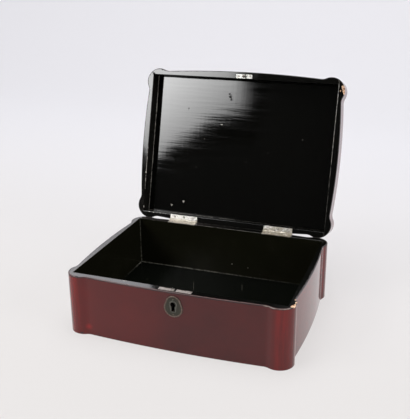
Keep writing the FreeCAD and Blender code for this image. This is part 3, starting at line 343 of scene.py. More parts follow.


# brown over red: darker along the middle, a brighter red on the lobes that is partly rubbed and partly
# painted light, dark and bare along worn edges
def makeRedLacquer(s):
    material, shader, where = newMaterial("redLacquer")
    axes = apart(where)
    shade = sums("ADD", times(patches(where, s["clouds"]), 1 - s["shadeShare"]),
                 times(strengthAlong(axes["X"], s["shadeStops"]), s["shadeShare"]))
    # the lobes are a brighter red in upright streaks: partly rubbed thin by handling, partly painted light
    # where they face the side lamps
    thinAndLit = times(nearTo(unsigned(axes["X"]), s["thinAndLitPlace"], s["thinAndLitWidth"]),
                 patches(stretched(where, s["grainLength"]), s["grain"]))
    away = roundSection(shader.id_data)
    worn = times(fade(away, *s["edgeWear"]), patches(where, s["fraying"]))
    # the front right lobe's edge is worn through to the priming
    below, above = [fade(axes["Z"], bodySet["rim"] + start, bodySet["rim"] + full)
                    for start, full in (s["wornBelow"], s["wornAbove"])]
    edge = times(strengthAlong(axes["X"], s["wornLobe"]), fade(axes["Y"], *s["wornFront"]),
                 fade(away, *s["wornReach"]), patches(where, s["crumbling"]), below, above)
    flare = fade(distanceTo(where, s["flareAt"]), s["flareReach"], 0.0)
    colour = coats(s["base"], (shade, s["dark"]), (thinAndLit, s["glow"]), (worn, s["rubbed"]), (edge, s["bare"]),
                   (flare, s["flare"]), (spots(where, s["nicks"]), s["rubbed"]))
    rough = patches(stretched(where, s["smearLength"]), s["smears"] + s["gloss"])
    fill(shader, {"Base Color": colour, "Roughness": rough, "Normal": relief(where, s["skin"]),
                  "IOR": s["ior"]})
    return material


# what the black lacquers share
blackSet = {
    "base": (0.0026, 0.0026, 0.0022),
    "clouds": (60.0, 5.0, 0.55, 0.35, 0.7, 0.4, 1.0),
    "gaps": (150.0, 4.0, 0.7, 0.36, 0.6),     # where a line is broken
    "crumbs": (430.0, 3.0, 0.55, 0.50, 0.56),
    "dustSeams": (),
    "fraying": (130.0, 4.0, 0.55, 0.3, 0.7, 0.7, 1.3),
    "dullCore": 0.6,              # share of the dull edge's width that is fully dull
    "frontBlend": 0.004,
    "dullGloss": 0.35,            # what dull edges and pits add to the roughness
    "pitGloss": 0.7,
    "pitDepth": 0.0006,
    "smears": (45.0, 4.0, 0.55, 0.3, 0.75),
    "skin": (220.0, 2.0, 0.55, 0.00002, 0.5),
}
rimSet = {
    **blackSet,
    "name": "bodyRimLacquer",
    "dustAndSheen": (0.055, 0.048, 0.045),            # fine scratches and dust, and a painted reflection, to the left only
    "dustAndSheenStops": ((-0.155, 0.8), (-0.10, 0.6), (-0.02, 0.15), (0.03, 0.0)),      # along X
    "line": (0.260, 0.245, 0.220),
    "lineWidth": 0.0011,
    "seams": (("X", "back", "rim", ((-0.125, 0.1), (-0.05, 0.5), (0.03, 0.45), (0.06, 0.1))),),
    "flecks": ((-0.0680, -0.1028, 0.0820, 0.0020), (-0.0655, -0.1026, 0.0822, 0.0020)),
    "pits": ((-0.1300, -0.1130, 0.0817, 0.0016), (-0.1214, -0.1132, 0.0817, 0.0016),
             (-0.0560, -0.1160, 0.0820, 0.0020)),
    "edge": (0.014, 0.010, 0.010),
    "frontEdge": (0.060, 0.022, 0.020),
    "dull": 0.0022,               # width of the dull edge
    "gloss": (0.063, 0.135),
    "ior": 1.5,
}
lidEdgeSet = {
    **blackSet,
    "name": "lidBlackLacquer",
    "dustAndSheen": (0.016, 0.0145, 0.0130),
    "dustAndSheenStops": ((-0.155, 0.5), (-0.08, 0.3), (0.0, 0.1), (0.03, 0.0)),
    # pale lines of dust and wear along the rails' inner edges, brightened as painted light where the corner
    # lies in shade
    "line": (0.560, 0.530, 0.480),
    "lineWidth": 0.0012,
    "seams": (("Y", "left", "panel", ((-0.105, 1.0), (0.02, 0.9), (0.105, 0.5))),
              ("Y", "left", "rim", ((-0.002, 0.0), (0.006, 0.55), (0.060, 0.55), (0.072, 0.0))),
              ("Y", "right", "rim", ((-0.102, 0.42), (-0.03, 0.42), (0.04, 0.17), (0.10, 0.05)))),
    "dustSeams": (("X", "back", "panel", ((-0.141, 1.0), (-0.08, 0.7), (0.0, 0.25), (0.14, 0.05))),
                  ("X", "back", "rim", ((-0.141, 0.3), (-0.118, 1.0), (-0.080, 0.7), (-0.05, 0.0)))),
    "flecks": ((-0.1400, 0.0985, 0.0823, 0.0016), (-0.1410, 0.0450, 0.0823, 0.0013),
               (-0.1385, 0.0930, 0.0823, 0.0010), (-0.1400, 0.0700, 0.0823, 0.0008)),
    "pits": ((-0.0478, -0.1150, 0.0823, 0.0012), (-0.0416, -0.1153, 0.0823, 0.0011),
             (-0.0354, -0.1156, 0.0823, 0.0012), (-0.1271, -0.1131, 0.0823, 0.0015),
             (-0.1229, -0.1120, 0.0823, 0.0012), (-0.1470, -0.1038, 0.0823, 0.0011),
             (-0.1405, -0.1057, 0.0823, 0.0018), (-0.1372, -0.1025, 0.0823, 0.0018),
             (-0.1395, -0.0960, 0.0823, 0.0013), (-0.0170, -0.1170, 0.0823, 0.0010),
             (-0.0077, -0.1161, 0.0823, 0.0010)),
    "edge": (0.0060, 0.0050, 0.0050),
    "frontEdge": (0.0060, 0.0050, 0.0050),
    "dull": 0.0010,
    "gloss": (0.042, 0.09),
    "ior": 1.46,
}
lidInnerSet = {                   # the inner sides of the rails, less glossy
    **lidEdgeSet,
    "name": "lidInnerLacquer",
    "gloss": (0.175, 0.375),
    "ior": 1.03,
}


# black rims and the lid's inner sides; when shut is set, the places are those of the shut lid
def makeBlackLacquer(s, sizes, shut):
    material, shader, where = newMaterial(s["name"])
    place = shutPlace(where) if shut else where
    axes = apart(place)
    # dust and fine scratches; on the body's rim also a painted reflection, stronger to the left
    dustAndSheen = times(patches(where, s["clouds"]), strengthAlong(axes["X"], s["dustAndSheenStops"]))
    lines = seamLines(place, sizes, s["seams"], s["lineWidth"])
    marks = [times(lines, patches(where, s["gaps"])), spots(place, s["flecks"])]
    if s["dustSeams"]:
        dusty = seamLines(place, sizes, s["dustSeams"], s["lineWidth"])
        marks.append(times(dusty, patches(where, s["crumbs"])))
    # the outer edge is handled dull
    width = times(patches(where, s["fraying"]), s["dull"])
    dull = fade(sums("DIVIDE", roundSection(shader.id_data), width), 1.0, s["dullCore"])
    front = -sizes["innerY"]
    atFront = fade(axes["Y"], front + s["frontBlend"], front - s["frontBlend"])
    edge = blendColour(atFront, s["edge"], s["frontEdge"])
    pits = spots(place, s["pits"])
    colour = coats(s["base"], (dustAndSheen, s["dustAndSheen"]), (anyOf(*marks), s["line"]), (dull, edge), (pits, s["base"]))
    matt = anyOf(times(dull, s["dullGloss"]), times(pits, s["pitGloss"]))
    rough = sums("ADD", patches(where, s["smears"] + s["gloss"]), matt)
    fill(shader, {"Base Color": colour, "Roughness": rough,
                  "Normal": bump(pits, -s["pitDepth"], 1.0, relief(where, s["skin"])), "IOR": s["ior"]})
    return material


panelSet = {
    "base": (0.0022, 0.0022, 0.0018),
    "line": (0.400, 0.380, 0.340),
    "lineWidth": 0.0012,
    "seams": lidEdgeSet["seams"] + (
        ("X", "back", "panel", ((-0.141, 0.35), (-0.04, 0.25), (0.03, 0.10), (0.14, 0.02))),),
    "gaps": (120.0, 4.0, 0.7, 0.35, 0.65),
    "streaks": (3.0, 4.0, 0.6),
    "streakLength": (4.0, 70.0, 70.0),        # the top coat was laid on in strokes along X
    "streakGloss": (0.3, 0.75, 0.033, 0.0825),      # a span of their noise and its roughness
    "streakDepth": 0.00005,
    "combing": (3.0, 3.0, 0.55, 0.00001, 1.0),
    "combLength": (90.0, 3.0, 3.0),           # and rubbed down across them
    "pale": ((-0.0324, -0.0368, 0.0011), (-0.0579, -0.0132, 0.0006),     # bare spots: x, y shut, radius
             (-0.0838, 0.0855, 0.0015), (-0.1027, 0.0930, 0.0012), (0.0929, -0.0236, 0.0004),
             (0.0433, -0.0004, 0.0004), (-0.0679, 0.0306, 0.0003), (0.0108, 0.0158, 0.0003)),
    "dark": ((-0.0223, -0.0793, 0.0026), (-0.0205, -0.0755, 0.0018), (-0.0240, -0.0830, 0.0016),
             (-0.0871, -0.0576, 0.0011)),
    "bare": (0.420, 0.400, 0.360),
    "pit": (0.0030, 0.0026, 0.0022),
    "flawGloss": 0.6,             # what a bare spot or pit adds to the roughness
    "ior": 1.5,
}


# a brushed and polished board: streaks, crossed by finer ones, both in gloss and relief
def makePanelLacquer(s, sizes):
    material, shader, where = newMaterial("panelLacquer")
    place = shutPlace(where)
    streak = noise(stretched(where, s["streakLength"]), *s["streaks"])
    lines = times(seamLines(place, sizes, s["seams"], s["lineWidth"]), patches(where, s["gaps"]))
    pale, dark = [spots(place, [(x, y, sizes["panel"], radius) for x, y, radius in s[kind]])
                  for kind in ("pale", "dark")]
    matt = fade(anyOf(pale, dark), 0.0, 1.0, 0.0, s["flawGloss"])
    combed = relief(stretched(where, s["combLength"]), s["combing"])
    fill(shader, {"Base Color": coats(s["base"], (lines, s["line"]), (pale, s["bare"]), (dark, s["pit"])),
                  "Roughness": sums("ADD", fade(streak, *s["streakGloss"]), matt),
                  "Normal": bump(streak, s["streakDepth"], 1.0, combed), "IOR": s["ior"]})
    return material


innerSet = {
    # the walls' own brown black, raised as painted light because little lamp light reaches them
    "base": (0.0068, 0.0066, 0.0034),
    "worn": (0.0095, 0.0090, 0.0055),
    "clouds": (26.0, 5.0, 0.6, 0.45, 0.75),
    "board": (0.0022, 0.0026, 0.0019),
    "boardEdge": (0.0008, 0.0003),            # above the floor, where its black starts and is full
    "line": (0.190, 0.183, 0.155),
    "lineWidth": 0.0018,
    "gaps": (260.0, 4.0, 0.7, 0.36, 0.58, 0.25, 1.0),
    "seams": (("Z", "left", "back", ((0.009, 0.8), (0.045, 0.35), (0.075, 0.6), (0.082, 0.15))),
              ("X", "back", "floor", ((-0.142, 0.9), (-0.10, 0.5), (-0.08, 0.85), (-0.02, 0.5),
                                      (0.05, 0.2), (0.142, 0.08))),
              ("Y", "left", "floor", ((0.03, 0.0), (0.075, 0.15), (0.103, 0.9)))),
    "scratch": (0.034, 0.032, 0.026),
    "scratches": (210.0, 2.0, 0.5, 0.72, 0.80, 0.0, 0.6),
    "scratchLength": (1.0, 0.12, 1.0),
    "scratchTurn": (0.0, 0.0, 0.5),
    "scores": ((-0.0416, 0.0699, -0.0254, 0.0270), (0.0296, 0.0836, 0.0400, 0.0495)),    # x, y to x, y
    "scoreWidth": 0.0008,
    "scoreStrength": 0.7,
    "flecks": ((0.0078, 0.1029, 0.0265, 0.0009), (0.0328, 0.1029, 0.0237, 0.0008)),
    "smears": (50.0, 4.0, 0.55, 0.3, 0.75),
    "gloss": (0.16, 0.26),
    "smearLength": (1.0, 1.0, 0.3),
    "skin": (300.0, 3.0, 0.55, 0.00003, 0.6),
    "ior": 1.22,
}


# fine scores in a flat board: each is turned to lie along X from its start and kept to its length
def scoreLines(where, lines, width):
    masks = []
    for x0, y0, x1, y1 in lines:
        half, angle = math.hypot(x1 - x0, y1 - y0) / 2, -math.atan2(y1 - y0, x1 - x0)
        c, s = math.cos(angle), math.sin(angle)
        axes = apart(stretched(where, (1.0, 1.0, 1.0), (0.0, 0.0, angle),
                               (y0 * s - x0 * c, -x0 * s - y0 * c, 0.0)))
        masks.append(times(nearTo(axes["Y"], 0.0, width), nearTo(axes["X"], half, half)))
    return anyOf(*masks)


# the inside: dull brown black on the walls, lightened partly as painted light for the little light that
# reaches them, blacker on the floor, pale dust in the corners
def makeInnerLacquer(s, sizes):
    material, shader, where = newMaterial("innerLacquer")
    onBoard = fade(apart(where)["Z"], *[sizes["floor"] + z for z in s["boardEdge"]])
    scratches = patches(stretched(where, s["scratchLength"], s["scratchTurn"]), s["scratches"])
    scores = times(onBoard, scoreLines(where, s["scores"], s["scoreWidth"]), s["scoreStrength"])
    lines = times(seamLines(where, sizes, s["seams"], s["lineWidth"]), patches(where, s["gaps"]))
    colour = coats(s["base"], (patches(where, s["clouds"]), s["worn"]), (onBoard, s["board"]),
                   (scratches, s["scratch"]), (scores, s["scratch"]),
                   (anyOf(lines, spots(where, s["flecks"])), s["line"]))
    rough = patches(stretched(where, s["smearLength"]), s["smears"] + s["gloss"])
    fill(shader, {"Base Color": colour, "Roughness": rough, "Normal": relief(where, s["skin"]),
                  "IOR": s["ior"]})
    return material


cutWoodSet = {                    # stained wood, bare where something is let in
    "name": "cutWood",
    "base": (0.030, 0.018, 0.011),
    "grain": (0.014, 0.0085, 0.0055),
    "grainLength": (3.0, 90.0, 90.0),
    "figure": (6.0, 4.0, 0.6),
    "grainAt": (0.35, 0.65),
    "relief": (0.00006, 0.8),     # depth and strength
    "roughness": 0.6,
}
chipSet = {                       # pale wood where an edge is knocked off, with stained grain, made paler still as a painted highlight
    "name": "chipWood",
    "base": (0.860, 0.610, 0.420),
    "grain": (0.200, 0.075, 0.030),
    "grainLength": (1.0, 1.0, 3.0),
    "figure": (420.0, 4.0, 0.6),
    "grainAt": (0.46, 0.58),
    "relief": (0.0001, 0.8),
    "roughness": 0.7,
}


# drawn-out grain, in colour and relief
def makeWood(s):
    material, shader, where = newMaterial(s["name"])
    figure = noise(stretched(where, s["grainLength"]), *s["figure"])
    fill(shader, {"Base Color": blendColour(fade(figure, *s["grainAt"]), s["base"], s["grain"]),
                  "Normal": bump(figure, *s["relief"]), "Roughness": s["roughness"]})
    return material


# what the metals share, unless a metal has its own
metalSet = {
    "cloud": (5.0, 0.6),          # the detail and roughness of its noise
    "dullAt": (0.4, 0.62),
    "dullShift": 0.15,            # how far the stops move that, either way
    "finer": 4.0,                 # pits are this much finer than patches,
    "pitGrain": (3.0, 0.5),
    "pitted": (0.66, 0.74),
    "beaten": 5.0,                # and dents this much
    "dents": (3.0, 0.55, 0.00003, 0.6),
    "drawnLength": (0.1, 1.0, 1.0),
    "drawn": (1400.0, 2.0, 0.55, 0.000006, 0.5),
    "roughRange": (0.0, 1.2),     # of patches and pits together, from clean to dull
    "barrelReach": 0.0025,        # from the hinge axis
    "barrelBlend": 0.85,          # how strong the knuckles' colour is, and in what share of the reach
}
# each metal's colours, its roughness where it is clean and where it is dull, and its patches' scale
metals = {
    "lidHingePlating": {
        "bright": (0.94, 0.92, 0.88), "dull": (0.53, 0.49, 0.42), "pit": (0.130, 0.105, 0.085),
        "roughness": (0.40, 0.64), "scale": 180.0, "finer": 3.0, "pitted": (0.56, 0.74),
        "dullStops": ((-0.10, -0.25), (0.0, 0.5), (0.10, 0.68)),     # the left hinge is the cleaner one
        "barrel": (0.48, 0.44, 0.37),                                # the knuckles are worn and dark
    },
    # the body's leaves face up into the overhead lamp; their colours are darker than the lid leaves', partly
    # duller plating and partly painted shade
    "bodyHingeDullShadedPlating": {
        "bright": (0.58, 0.53, 0.46), "dull": (0.33, 0.295, 0.235), "pit": (0.130, 0.095, 0.065),
        "roughness": (0.56, 0.896), "scale": 200.0,
        "dullStops": ((-0.10, 0.25), (0.0, 0.5), (0.10, 0.85)),
        "barrel": (0.50, 0.46, 0.39),
    },
    "screwHeads": {
        "bright": (0.62, 0.59, 0.54), "dull": (0.32, 0.285, 0.235), "pit": (0.110, 0.085, 0.065),
        "roughness": (0.40, 0.64), "scale": 260.0,
    },
    "selvedgeMetal": {
        "bright": (0.40, 0.36, 0.335), "dull": (0.19, 0.168, 0.15), "pit": (0.050, 0.042, 0.034),
        "roughness": (0.42, 0.672), "scale": 150.0,
    },
    "linkMetal": {
        "bright": (0.45, 0.45, 0.43), "dull": (0.32, 0.31, 0.26), "pit": (0.070, 0.060, 0.045),
        "roughness": (0.36, 0.576), "scale": 90.0,
    },
    "darkSteel": {
        "bright": (0.090, 0.082, 0.074), "dull": (0.040, 0.035, 0.030), "pit": (0.018, 0.014, 0.012),
        "roughness": (0.45, 0.72), "scale": 180.0,
    },
}


# worn metal: clean patches, dull ones, a scatter of dark pits and a fine drawn grain along X
def makeMetal(name, s):
    material, shader, where = newMaterial(name)
    cloud = noise(where, s["scale"], *s["cloud"])
    if "dullStops" in s:
        along = strengthAlong(apart(where)["X"], s["dullStops"])
        cloud = sums("ADD", cloud, fade(along, 0.0, 1.0, -s["dullShift"], s["dullShift"]))
    patch = fade(cloud, *s["dullAt"])
    pits = fade(noise(where, s["scale"] * s["finer"], *s["pitGrain"]), *s["pitted"])
    colour = blendColour(patch, s["bright"], s["dull"])
    if "barrel" in s:
        away = distanceTo(stretched(where, (0.0, 1.0, 1.0)), (0.0, axisY, axisZ))
        onBarrel = fade(away, s["barrelReach"], s["barrelReach"] * s["barrelBlend"], 0.0, s["barrelBlend"])
        colour = blendColour(onBarrel, colour, s["barrel"])
    dents = relief(where, (s["scale"] * s["beaten"], *s["dents"]))
    fill(shader, {"Base Color": blendColour(pits, colour, s["pit"]), "Metallic": 1.0,
                  "Roughness": fade(sums("ADD", patch, pits), *s["roughRange"], *s["roughness"]),
                  "Normal": relief(stretched(where, s["drawnLength"]), s["drawn"], dents)})
    return material


shieldSet = {
    "rim": (0.120, 0.082, 0.068),             # brown and dull
    "field": (0.052, 0.051, 0.040),           # grey-green in the hollow round the keyhole
    "lip": (0.105, 0.103, 0.088),             # rubbed bright
    "bright": (0.175, 0.135, 0.110),
    "patches": (420.0, 4.0, 0.6, 0.4, 0.65),
    "roughness": (0.546, 0.42),   # where it is brown and where it is bright
    "lipReach": (0.0072, 0.0066),             # the lip lies within this of the keyhole's middle,
    "lipRise": 0.0006,            # which is this far above the shield's,
    "lipSquash": 0.72,            # and heights count for less
    "fieldStep": (0.0007, 0.0009),            # the field lies less than this proud of the wall
    "skin": (1500.0, 3.0, 0.55, 0.00003, 0.7),
    "metallic": 0.8,
}


# aged brass: the raised rim brown, the hollow green, the lip round the keyhole rubbed bright
def makeShieldBrass(s):
    material, shader, where = newMaterial("shieldBrass")
    low, high = cornersOf("escutcheon")
    proud = sums("SUBTRACT", high[1], apart(where)["Y"])
    squash = s["lipSquash"]
    middle = ((low[0] + high[0]) / 2, 0.0, ((low[2] + high[2]) / 2 + s["lipRise"]) * squash)
    away = distanceTo(stretched(where, (1.0, 0.0, squash)), middle)
    patch = patches(where, s["patches"])
    top = coats(s["rim"], (patch, s["bright"]), (fade(away, *s["lipReach"]), s["lip"]))
    fill(shader, {"Base Color": blendColour(fade(proud, *s["fieldStep"]), s["field"], top),
                  "Roughness": fade(patch, 0.0, 1.0, *s["roughness"]),
                  "Normal": relief(where, s["skin"]), "Metallic": s["metallic"]})
    return material


redLacquer = makeRedLacquer(redLacquerSet)
bodyRimLacquer = makeBlackLacquer(rimSet, bodySet, False)
lidBlackLacquer = makeBlackLacquer(lidEdgeSet, lidSet, True)
lidInnerLacquer = makeBlackLacquer(lidInnerSet, lidSet, True)
panelLacquer = makePanelLacquer(panelSet, lidSet)
innerLacquer = makeInnerLacquer(innerSet, bodySet)
cutWood = makeWood(cutWoodSet)
chipWood = makeWood(chipSet)
lidHingePlating, bodyHingeDullShadedPlating, screwHeads, selvedgeMetal, linkMetal, darkSteel = [
    makeMetal(name, {**metalSet, **own}) for name, own in metals.items()]
shieldBrass = makeShieldBrass(shieldSet)
print("finishes made")


longSides = ("front", "back")
quarterTurns = {"front": 0, "right": 1, "back": 2, "left": 3}     # seen from above


# half the clear room in a box, along a side and across it
def innerOf(s, isLong):
    return (s["innerX"], s["innerY"]) if isLong else (s["innerY"], s["innerX"])


# One side's plan line, mitre to mitre, set in by depth. In the side's own plane u runs along it and v
# outwards. Three arcs make each half: the bow about (0, reach - R), the hollow about a point that lies
# R + r from the bow's centre and lobe + r from the lobe's, and the lobe, which ends where it meets the
# mitre line u - v = innerU - innerV, so at an angle a with cos(a + 45 deg) = rest / (radius sqrt 2).
def outerRow(s, isLong, depth):
    innerU, innerV = innerOf(s, isLong)
    radius, reach = (plan["longBow"], plan["longReach"]) if isLong else (plan["shortBow"], plan["shortReach"])
    lobeX, lobeY = plan["overX"] / 2 - plan["lobe"], plan["overY"] / 2 - plan["lobe"]
    lobeAt = np.array([lobeX, lobeY] if isLong else [lobeY, lobeX])
    bowAt = np.array([0.0, reach - radius])
    farA, farB = radius + plan["cove"], plan["lobe"] + plan["cove"]
    gap = lobeAt - bowAt
    span = np.hypot(*gap)
    along = (farA**2 - farB**2 + span**2) / (2 * span)
    across = math.sqrt(farA**2 - along**2)
    axis = gap / span
    meetings = [bowAt + along * axis + sign * across * np.array([-axis[1], axis[0]]) for sign in (-1, 1)]
    coveAt = min(meetings, key=lambda place: place[0])
    toBow = math.atan2(*(coveAt - bowAt)[::-1])
    toLobe = math.atan2(*(lobeAt - coveAt)[::-1])
    small = plan["lobe"] - depth
    mitre = math.acos((innerU - innerV - lobeAt[0] + lobeAt[1]) / (small * math.sqrt(2))) - math.pi / 4
    arcs = [
        (bowAt, radius - depth, np.linspace(math.pi / 2, toBow, plan["bowSteps"] + 1)),
        (coveAt, plan["cove"] + depth, np.linspace(toBow - math.pi, toLobe, plan["coveSteps"] + 1)[1:]),
        (lobeAt, small, np.linspace(toLobe + math.pi, mitre, plan["lobeSteps"] + 1)[1:]),
    ]
    half = np.concatenate([c + r * np.stack([np.cos(a), np.sin(a)], 1) for c, r, a in arcs])
    return np.concatenate([half[:0:-1] * (-1, 1), half])


# how far round the plan line each of its points lies: the running sum of its steps
def lengthAlong(line):
    return np.concatenate([[0.0], np.cumsum(np.hypot(*np.diff(line, axis=0).T))])


# a straight line at v between the two mitres, its points spread as on the plan line it follows
def innerRow(like, innerU, innerV, v):
    steps = lengthAlong(like)
    share = 2 * steps / steps[-1] - 1
    return np.stack([share * (innerU + v - innerV), np.full(len(share), v)], 1)


faceSteps, roundSteps, arrisSteps = 14, 8, 4
guard = 0.0004                    # rows this near a rounding keep the flats beside it flat
rimRow = faceSteps + roundSteps // 2 - 1      # black from the middle of the rounding on
innerFaceRow = faceSteps + roundSteps + arrisSteps + 1      # and the inner side starts here
rimFinish, cutFinish, chipFinish = 1, 3, 4    # places in these two lists
wallFinishes = [redLacquer, bodyRimLacquer, innerLacquer, cutWood, chipWood]
railFinishes = [redLacquer, lidBlackLacquer, lidInnerLacquer, cutWood, chipWood]


# rows over a rounded edge: depth = e(1 - cos a), height = h - e + e sin a, and how far from its middle
def overEdge(edge, height, steps):
    return [(edge * (1 - math.cos(a)), height - edge + edge * math.sin(a), edge * abs(a - math.pi / 4))
            for a in np.linspace(0, math.pi / 2, steps + 1)]


# Rows round a wall's section: up the outer face, over the rounded edge, across the rim and down inside.
# Each row is its line, its height and its distance from the outer arris, and foot lists the last
# (v - innerV, height) points on the inner side.
def sideRows(isLong, s, height, foot):
    innerU, innerV = innerOf(s, isLong)
    edge, arris = s["edgeRound"], s["arris"]
    heights = np.append(np.linspace(0.0, height - edge - guard, faceSteps - 1), height - edge)
    rows = [(0.0, z, height - edge - z + edge * math.pi / 4) for z in heights]
    rows += overEdge(edge, height, roundSteps)[1:]
    rows.append((edge + guard, height, edge * math.pi / 4 + guard))
    made = [(outerRow(s, isLong, depth), z, away) for depth, z, away in rows]
    inner = [(arris + guard, height)]
    inner += [(arris * (1 - math.sin(a)), height - arris * (1 - math.cos(a)))
              for a in np.linspace(0, math.pi / 2, arrisSteps)]
    inner += [(0.0, height - arris - guard)] + foot
    reach = (plan["longReach"] if isLong else plan["shortReach"]) - innerV
    made += [(innerRow(made[-1][0], innerU, innerV, innerV + d), z, reach + height - z) for d, z in inner]
    return made


# The faces of a grid of points, row after row: each face goes from a point to the next in its row, to
# the row above and back. Either way round, the grid may be a ring, whose last joins its first.
def gridFaces(rows, columns, ringOfRows, ringOfColumns):
    i, j = np.meshgrid(np.arange(rows - 1 + ringOfRows), np.arange(columns - 1 + ringOfColumns),
                       indexing="ij")
    above, beside = (i + 1) % rows * columns, (j + 1) % columns
    return np.stack([i * columns + j, i * columns + beside, above + beside, above + j], -1).reshape(-1, 4)


# a tube of rings, with a flat face on each end
def tubeFaces(rows, columns):
    ends = [list(range(columns))[::-1], list(range((rows - 1) * columns, rows * columns))]
    return gridFaces(rows, columns, False, True).tolist() + ends


sharpFold = 28.0                  # degrees; a steeper fold between two faces stays sharp


# run is a map with a row for each point: how far along it lies, and how far from the outer arris
def newPiece(name, points, faces, finishes, materials, sharp=sharpFold, run=None):
    mesh = bpy.data.meshes.new(name)
    mesh.from_pydata(points.tolist(), [], faces)
    for material in materials:
        mesh.materials.append(material)
    mesh.polygons.foreach_set("material_index", finishes)
    mesh.polygons.foreach_set("use_smooth", [True] * len(faces))
    if run is not None:
        corners = np.empty(len(mesh.loops), dtype=np.int32)
        mesh.loops.foreach_get("vertex_index", corners)
        mesh.uv_layers.new(name="run").data.foreach_set("uv", run[corners].ravel())
    mesh.validate()
    mesh.set_sharp_from_angle(angle=math.radians(sharp))
    piece = bpy.data.objects.new(name, mesh)
    bpy.context.scene.collection.objects.link(piece)
    return piece


# a side's (u, v) line as points: the front's (x, y) is (u, -v), and a quarter turn makes that (-y, x)
def turned(line, quarters, z):
    x, y = line[:, 0], -line[:, 1]
    for _ in range(quarters):
        x, y = -y, x
    return np.stack([x, y, np.full(len(x), z)], 1)


# One wall or rail: a closed ring of rows with a flat face on each end. place gives z for a height in
# the section, and flip goes with a section upside down.
def makeSide(name, side, s, height, foot, place, flip, materials):
    rows = sideRows(side in longSides, s, height, foot)
    along = lengthAlong(rows[0][0])
    columns, order = len(along), np.arange(len(rows))
    points = np.concatenate([turned(line, quarterTurns[side], place(z)) for line, z, _ in rows])
    run = np.concatenate([np.stack([along, np.full(columns, away)], 1) for _, _, away in rows])
    faces = gridFaces(len(rows), columns, True, False).tolist()
    faces += [(order * columns).tolist(), (order * columns + columns - 1)[::-1].tolist()]
    if flip:
        faces = [face[::-1] for face in faces]
    finishes = np.repeat((order >= rimRow).astype(int) + (order >= innerFaceRow), columns - 1)
    return newPiece(name, points, faces, finishes.tolist() + [cutFinish] * 2, materials, run=run)


# puts a piece's points where change takes them
def moveMesh(piece, change):
    piece.data.vertices.foreach_set("co", change(pointsOf(piece.data)).ravel())
    piece.data.update()


# a box between two corners, and the finish of the faces that it cuts
def boxCutter(low, high, finish=cutFinish):
    corners = np.array([low, high])
    picks = np.array([[i & 1, i >> 1 & 1, i >> 2 & 1] for i in range(8)])
    faces = [(0, 2, 3, 1), (4, 5, 7, 6), (0, 1, 5, 4), (2, 6, 7, 3), (0, 4, 6, 2), (1, 3, 7, 5)]
    return newPiece("cutter", corners[picks, np.arange(3)], faces, [finish] * len(faces), wallFinishes)


# a round bar from one point to another along X or Y: points at r(cos a, sin a) about each end
def rodCutter(start, end, radius, steps=48):
    angles = np.linspace(0, 2 * math.pi, steps, endpoint=False)
    alongX = start[0] != end[0]
    ring = np.zeros((steps, 3))
    ring[:, 1 if alongX else 0], ring[:, 2] = radius * np.cos(angles), radius * np.sin(angles)
    faces = tubeFaces(2, steps)
    if not alongX:
        faces = [face[::-1] for face in faces]
    return newPiece("cutter", np.concatenate([ring + start, ring + end]), faces,
                    [cutFinish] * len(faces), wallFinishes)


# a lump to knock an edge off with: a ball whose radius is r(1 + 0.3 sin 3a cos 2b + 0.2 cos(5b + a))
def lumpCutter(middle, size, steps=14):
    a, b = np.meshgrid(np.linspace(0, 2 * math.pi, steps, endpoint=False),
                       np.linspace(0, math.pi, steps // 2 + 1)[1:-1])
    r = 1 + 0.3 * np.sin(3 * a) * np.cos(2 * b) + 0.2 * np.cos(5 * b + a)
    ball = np.stack([np.sin(b) * np.cos(a), np.sin(b) * np.sin(a), np.cos(b)], -1) * r[..., None]
    points = np.concatenate([[(0, 0, 1)], ball.reshape(-1, 3), [(0, 0, -1)]]) * size + middle
    last = len(points) - 1
    faces = (1 + gridFaces(len(a), steps, False, True)[:, [0, 3, 2, 1]]).tolist()
    faces += [[0, 1 + m, 1 + (m + 1) % steps] for m in range(steps)]
    faces += [[last, last - steps + (m + 1) % steps, last - steps + m] for m in range(steps)]
    return newPiece("cutter", points, faces, [chipFinish] * len(faces), wallFinishes)


sliver = 0.00001                  # a cut leaves no edge shorter than this


# cuts the cutters out of a piece, splits the faces with many corners and clears away slivers
def cutAway(piece, cutters):
    for cutter in cutters:
        modifier = piece.modifiers.new("cut", "BOOLEAN")
        modifier.object, modifier.operation, modifier.solver = cutter, "DIFFERENCE", "EXACT"
    bpy.context.view_layer.update()
    graph = bpy.context.evaluated_depsgraph_get()
    mesh = bpy.data.meshes.new_from_object(piece.evaluated_get(graph))
    solid = bmesh.new()
    solid.from_mesh(mesh)
    bmesh.ops.triangulate(solid, faces=[face for face in solid.faces if len(face.verts) > 4])
    bmesh.ops.dissolve_degenerate(solid, dist=sliver, edges=solid.edges)
    solid.to_mesh(mesh)
    solid.free()
    piece.modifiers.clear()
    piece.data = mesh
    mesh.set_sharp_from_angle(angle=math.radians(sharpFold))
    for cutter in cutters:
        bpy.data.objects.remove(cutter)


roomSet = {
    "let": 0.0001,                # round what is let in
    "sink": 0.00005,              # under it
    "leaf": 0.0010,               # thickness of a hinge leaf
    "knuckleRoom": 0.0021,        # radius
    "headRoom": 0.0008,           # past each end of the knuckles
    "stopSlack": math.radians(0.6),
    "stopReach": 0.008,
    "keyholeRound": 0.0036,
    "keyholeHalf": 0.0022,
    "keyholeHeight": 0.066,
    "keyholeDrop": 0.0092,
    "keyholeDepth": 0.0065,
    "outside": 0.008,             # cutters run this far out of the wood,
    "inside": 0.001,              # and this far into the clear room
}


